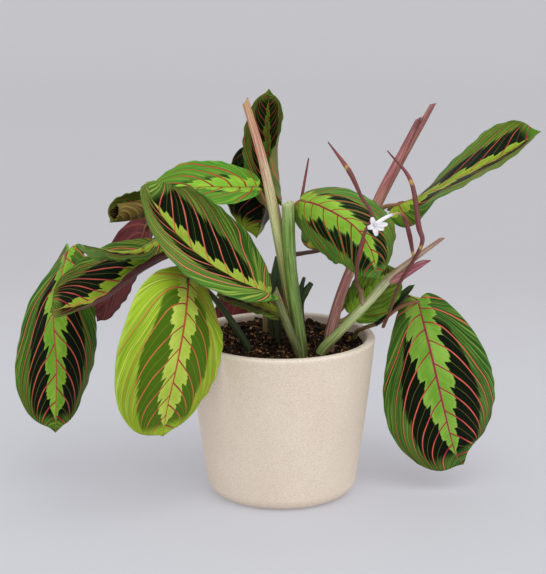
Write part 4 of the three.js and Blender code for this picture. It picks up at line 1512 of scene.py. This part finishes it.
class PLANT_OT_stems(Operator):
    """Makes the shoots and the thin stalks"""

    bl_idname = "plant.stems"
    bl_label = "Stems"

    def execute(self, context):
        settings = context.scene.plant.stems
        for name, stems in SHOOTS.items():
            shape = Shape(name)
            for k, stem in enumerate(stems):
                finish = stem_material(stem["look"])
                grow_stem(shape, stem, finish, settings.sides, settings.steps, k + 2)
            shape.make(name, slot="pink_sheath" if name == "shoot_pink" else "pale_stem")
        for name, stems in STALKS.items():
            young = name.startswith("small_")
            shape = Shape(name)
            for k, stem in enumerate(stems):
                radii = [r * (settings.young if young else 1) for r in stem["radii"]]
                finish = stem_material(stem["look"])
                tube = grow_tube(f"{name}_{k}", stem["route"], radii, finish, TUBE_SIDES)
                shape.add_mesh(tube, finish)
            shape.make(name, slot="dark_growth" if young else "purple_stalk")
        return {"FINISHED"}


class PLANT_OT_pot(Operator):
    """Makes the pot"""

    bl_idname = "plant.pot"
    bl_label = "Pot"

    def execute(self, context):
        settings = context.scene.plant.pot
        places, faces = lathe(pot_profile(), settings.sides)
        shape = Shape("pot")
        shape.add(places, faces, places[:, :2] / POT_RADIUS, pot_finish(settings))
        shape.make("pot", slot="stoneware")
        return {"FINISHED"}


class PLANT_OT_soil(Operator):
    """Makes the soil with its crumbs and fibres"""

    bl_idname = "plant.soil"
    bl_label = "Soil"

    def execute(self, context):
        settings = context.scene.plant.soil
        places, faces = lathe(soil_profile(), SOIL_SIDES)
        top = places[:, 2] > SOIL_TOP - 1
        places[top, 2] = soil_height(places[top, 0], places[top, 1])
        finish, fibre = soil_finish(settings), fibre_finish(settings)
        shape = Shape("soil")
        shape.add(places, faces, places[:, :2] / POT_RADIUS, finish)
        layers = (
            ("crumbs", one_crumb, finish, settings.crumbs, settings.seed),
            ("lumps", one_crumb, finish, settings.lumps, settings.seed + 1),
            ("fibres", one_fibre, fibre, settings.fibres, settings.seed),
        )
        for name, thing, material, density, seed in layers:
            edge, ends, turns = SCATTER[name]
            grown = scatter(name, thing, soil_top(edge), density, ends, turns, seed, material)
            shape.add_mesh(grown, material)
        shape.make("soil", slot="soil")
        return {"FINISHED"}


class PLANT_OT_flower(Operator):
    """Makes the small white flower"""

    bl_idname = "plant.flower"
    bl_label = "Flower"

    def execute(self, context):
        settings = context.scene.plant.flower
        finish = petal_finish(settings)
        shape = Shape("flower_white")
        tube = grow_tube("flower_tube", TUBE["route"], TUBE["radii"], finish, TUBE["sides"])
        shape.add_mesh(tube, finish)
        x, y, z = FLOWER
        for angle, length in PETALS:
            reach = length * settings.length
            dx, dz = math.cos(math.radians(angle)) * reach, math.sin(math.radians(angle)) * reach
            rib = [[x, y, z], [x + dx / 2, y - 1.5, z + dz / 2], [x + dx, y - 1, z + dz]]
            grow_blade(shape, dict(PETAL, rib=rib), dict(veins=3), PetalSizes, [finish, finish])
        shape.make("flower_white", slot="petal")
        return {"FINISHED"}


class PLANT_OT_stage(Operator):
    """Sets the floor, the lights and the camera"""

    bl_idname = "plant.stage"
    bl_label = "Stage"

    def execute(self, context):
        settings = context.scene.plant.stage
        bend = arc(SWEEP_START, SWEEP_ROUND, SWEEP_ROUND, -90, 0, 16)
        profile = np.vstack([[[-FLOOR_REACH, 0]], bend, [[SWEEP_START + SWEEP_ROUND, SWEEP_TOP]]])
        places = np.array([[x, y, z] for x in (-FLOOR_REACH, FLOOR_REACH) for y, z in profile])
        mesh = bpy.data.meshes.new("floor")
        mesh.from_pydata(places, [], grid_faces(1, len(profile) - 1).tolist())
        mesh.shade_smooth()
        mesh.materials.append(glowing_floor_finish(settings))
        floor = placed("floor", mesh)

        for name, (spread, place) in LAMPS.items():
            light = bpy.data.lights.new(name, "SUN")
            light.energy, light.angle = getattr(settings, name), math.radians(spread)
            lamp = placed(name, light)
            lamp.location = place
            lamp.rotation_euler = Vector(place).to_track_quat("Z", "Y").to_euler()

        world = bpy.data.worlds.new("studio")
        world.use_nodes = True
        background = world.node_tree.nodes["Background"].inputs
        background["Color"].default_value = SKY_COLOUR
        background["Strength"].default_value = settings.sky
        context.scene.world = world

        lens = bpy.data.cameras.new("camera")
        lens.lens, lens.sensor_fit, lens.sensor_height = settings.lens, "VERTICAL", SENSOR_HEIGHT
        camera = placed("camera", lens)
        camera.location = CAMERA_PLACE
        camera.rotation_euler = (math.radians(CAMERA_TILT), 0, CAMERA_TURN)
        context.scene.camera = camera
        context.scene.view_settings.view_transform = "Standard"
        return {"FINISHED"}


class PLANT_PT_sidebar(Panel):
    """Sizes, colours and the steps that make the plant"""

    bl_label = "Potted prayer plant"
    bl_space_type = "VIEW_3D"
    bl_region_type = "UI"
    bl_category = "Plant"

    def draw(self, context):
        settings = context.scene.plant
        for key, operator in STEPS.items():
            box = self.layout.box()
            box.operator(operator.bl_idname)
            group = getattr(settings, key)
            for name in group.__annotations__:
                box.prop(group, name)


STEPS = dict(
    pot=PLANT_OT_pot,
    soil=PLANT_OT_soil,
    stems=PLANT_OT_stems,
    leaves=PLANT_OT_leaves,
    flower=PLANT_OT_flower,
    stage=PLANT_OT_stage,
)
PARTS = (LeafSettings, StemSettings, PotSettings, SoilSettings, FlowerSettings, StageSettings)
GROUPS = (*PARTS, PlantSettings)


def register():
    for kind in (*GROUPS, *STEPS.values(), PLANT_PT_sidebar):
        bpy.utils.register_class(kind)
    bpy.types.Scene.plant = PointerProperty(type=PlantSettings)


def unregister():
    del bpy.types.Scene.plant
    for kind in (PLANT_PT_sidebar, *reversed(STEPS.values()), *reversed(GROUPS)):
        bpy.utils.unregister_class(kind)


def main():
    register()
    bpy.ops.plant.pot()
    bpy.ops.plant.soil()
    bpy.ops.plant.stems()
    bpy.ops.plant.leaves()
    bpy.ops.plant.flower()
    bpy.ops.plant.stage()


if __name__ == "__main__":
    main()
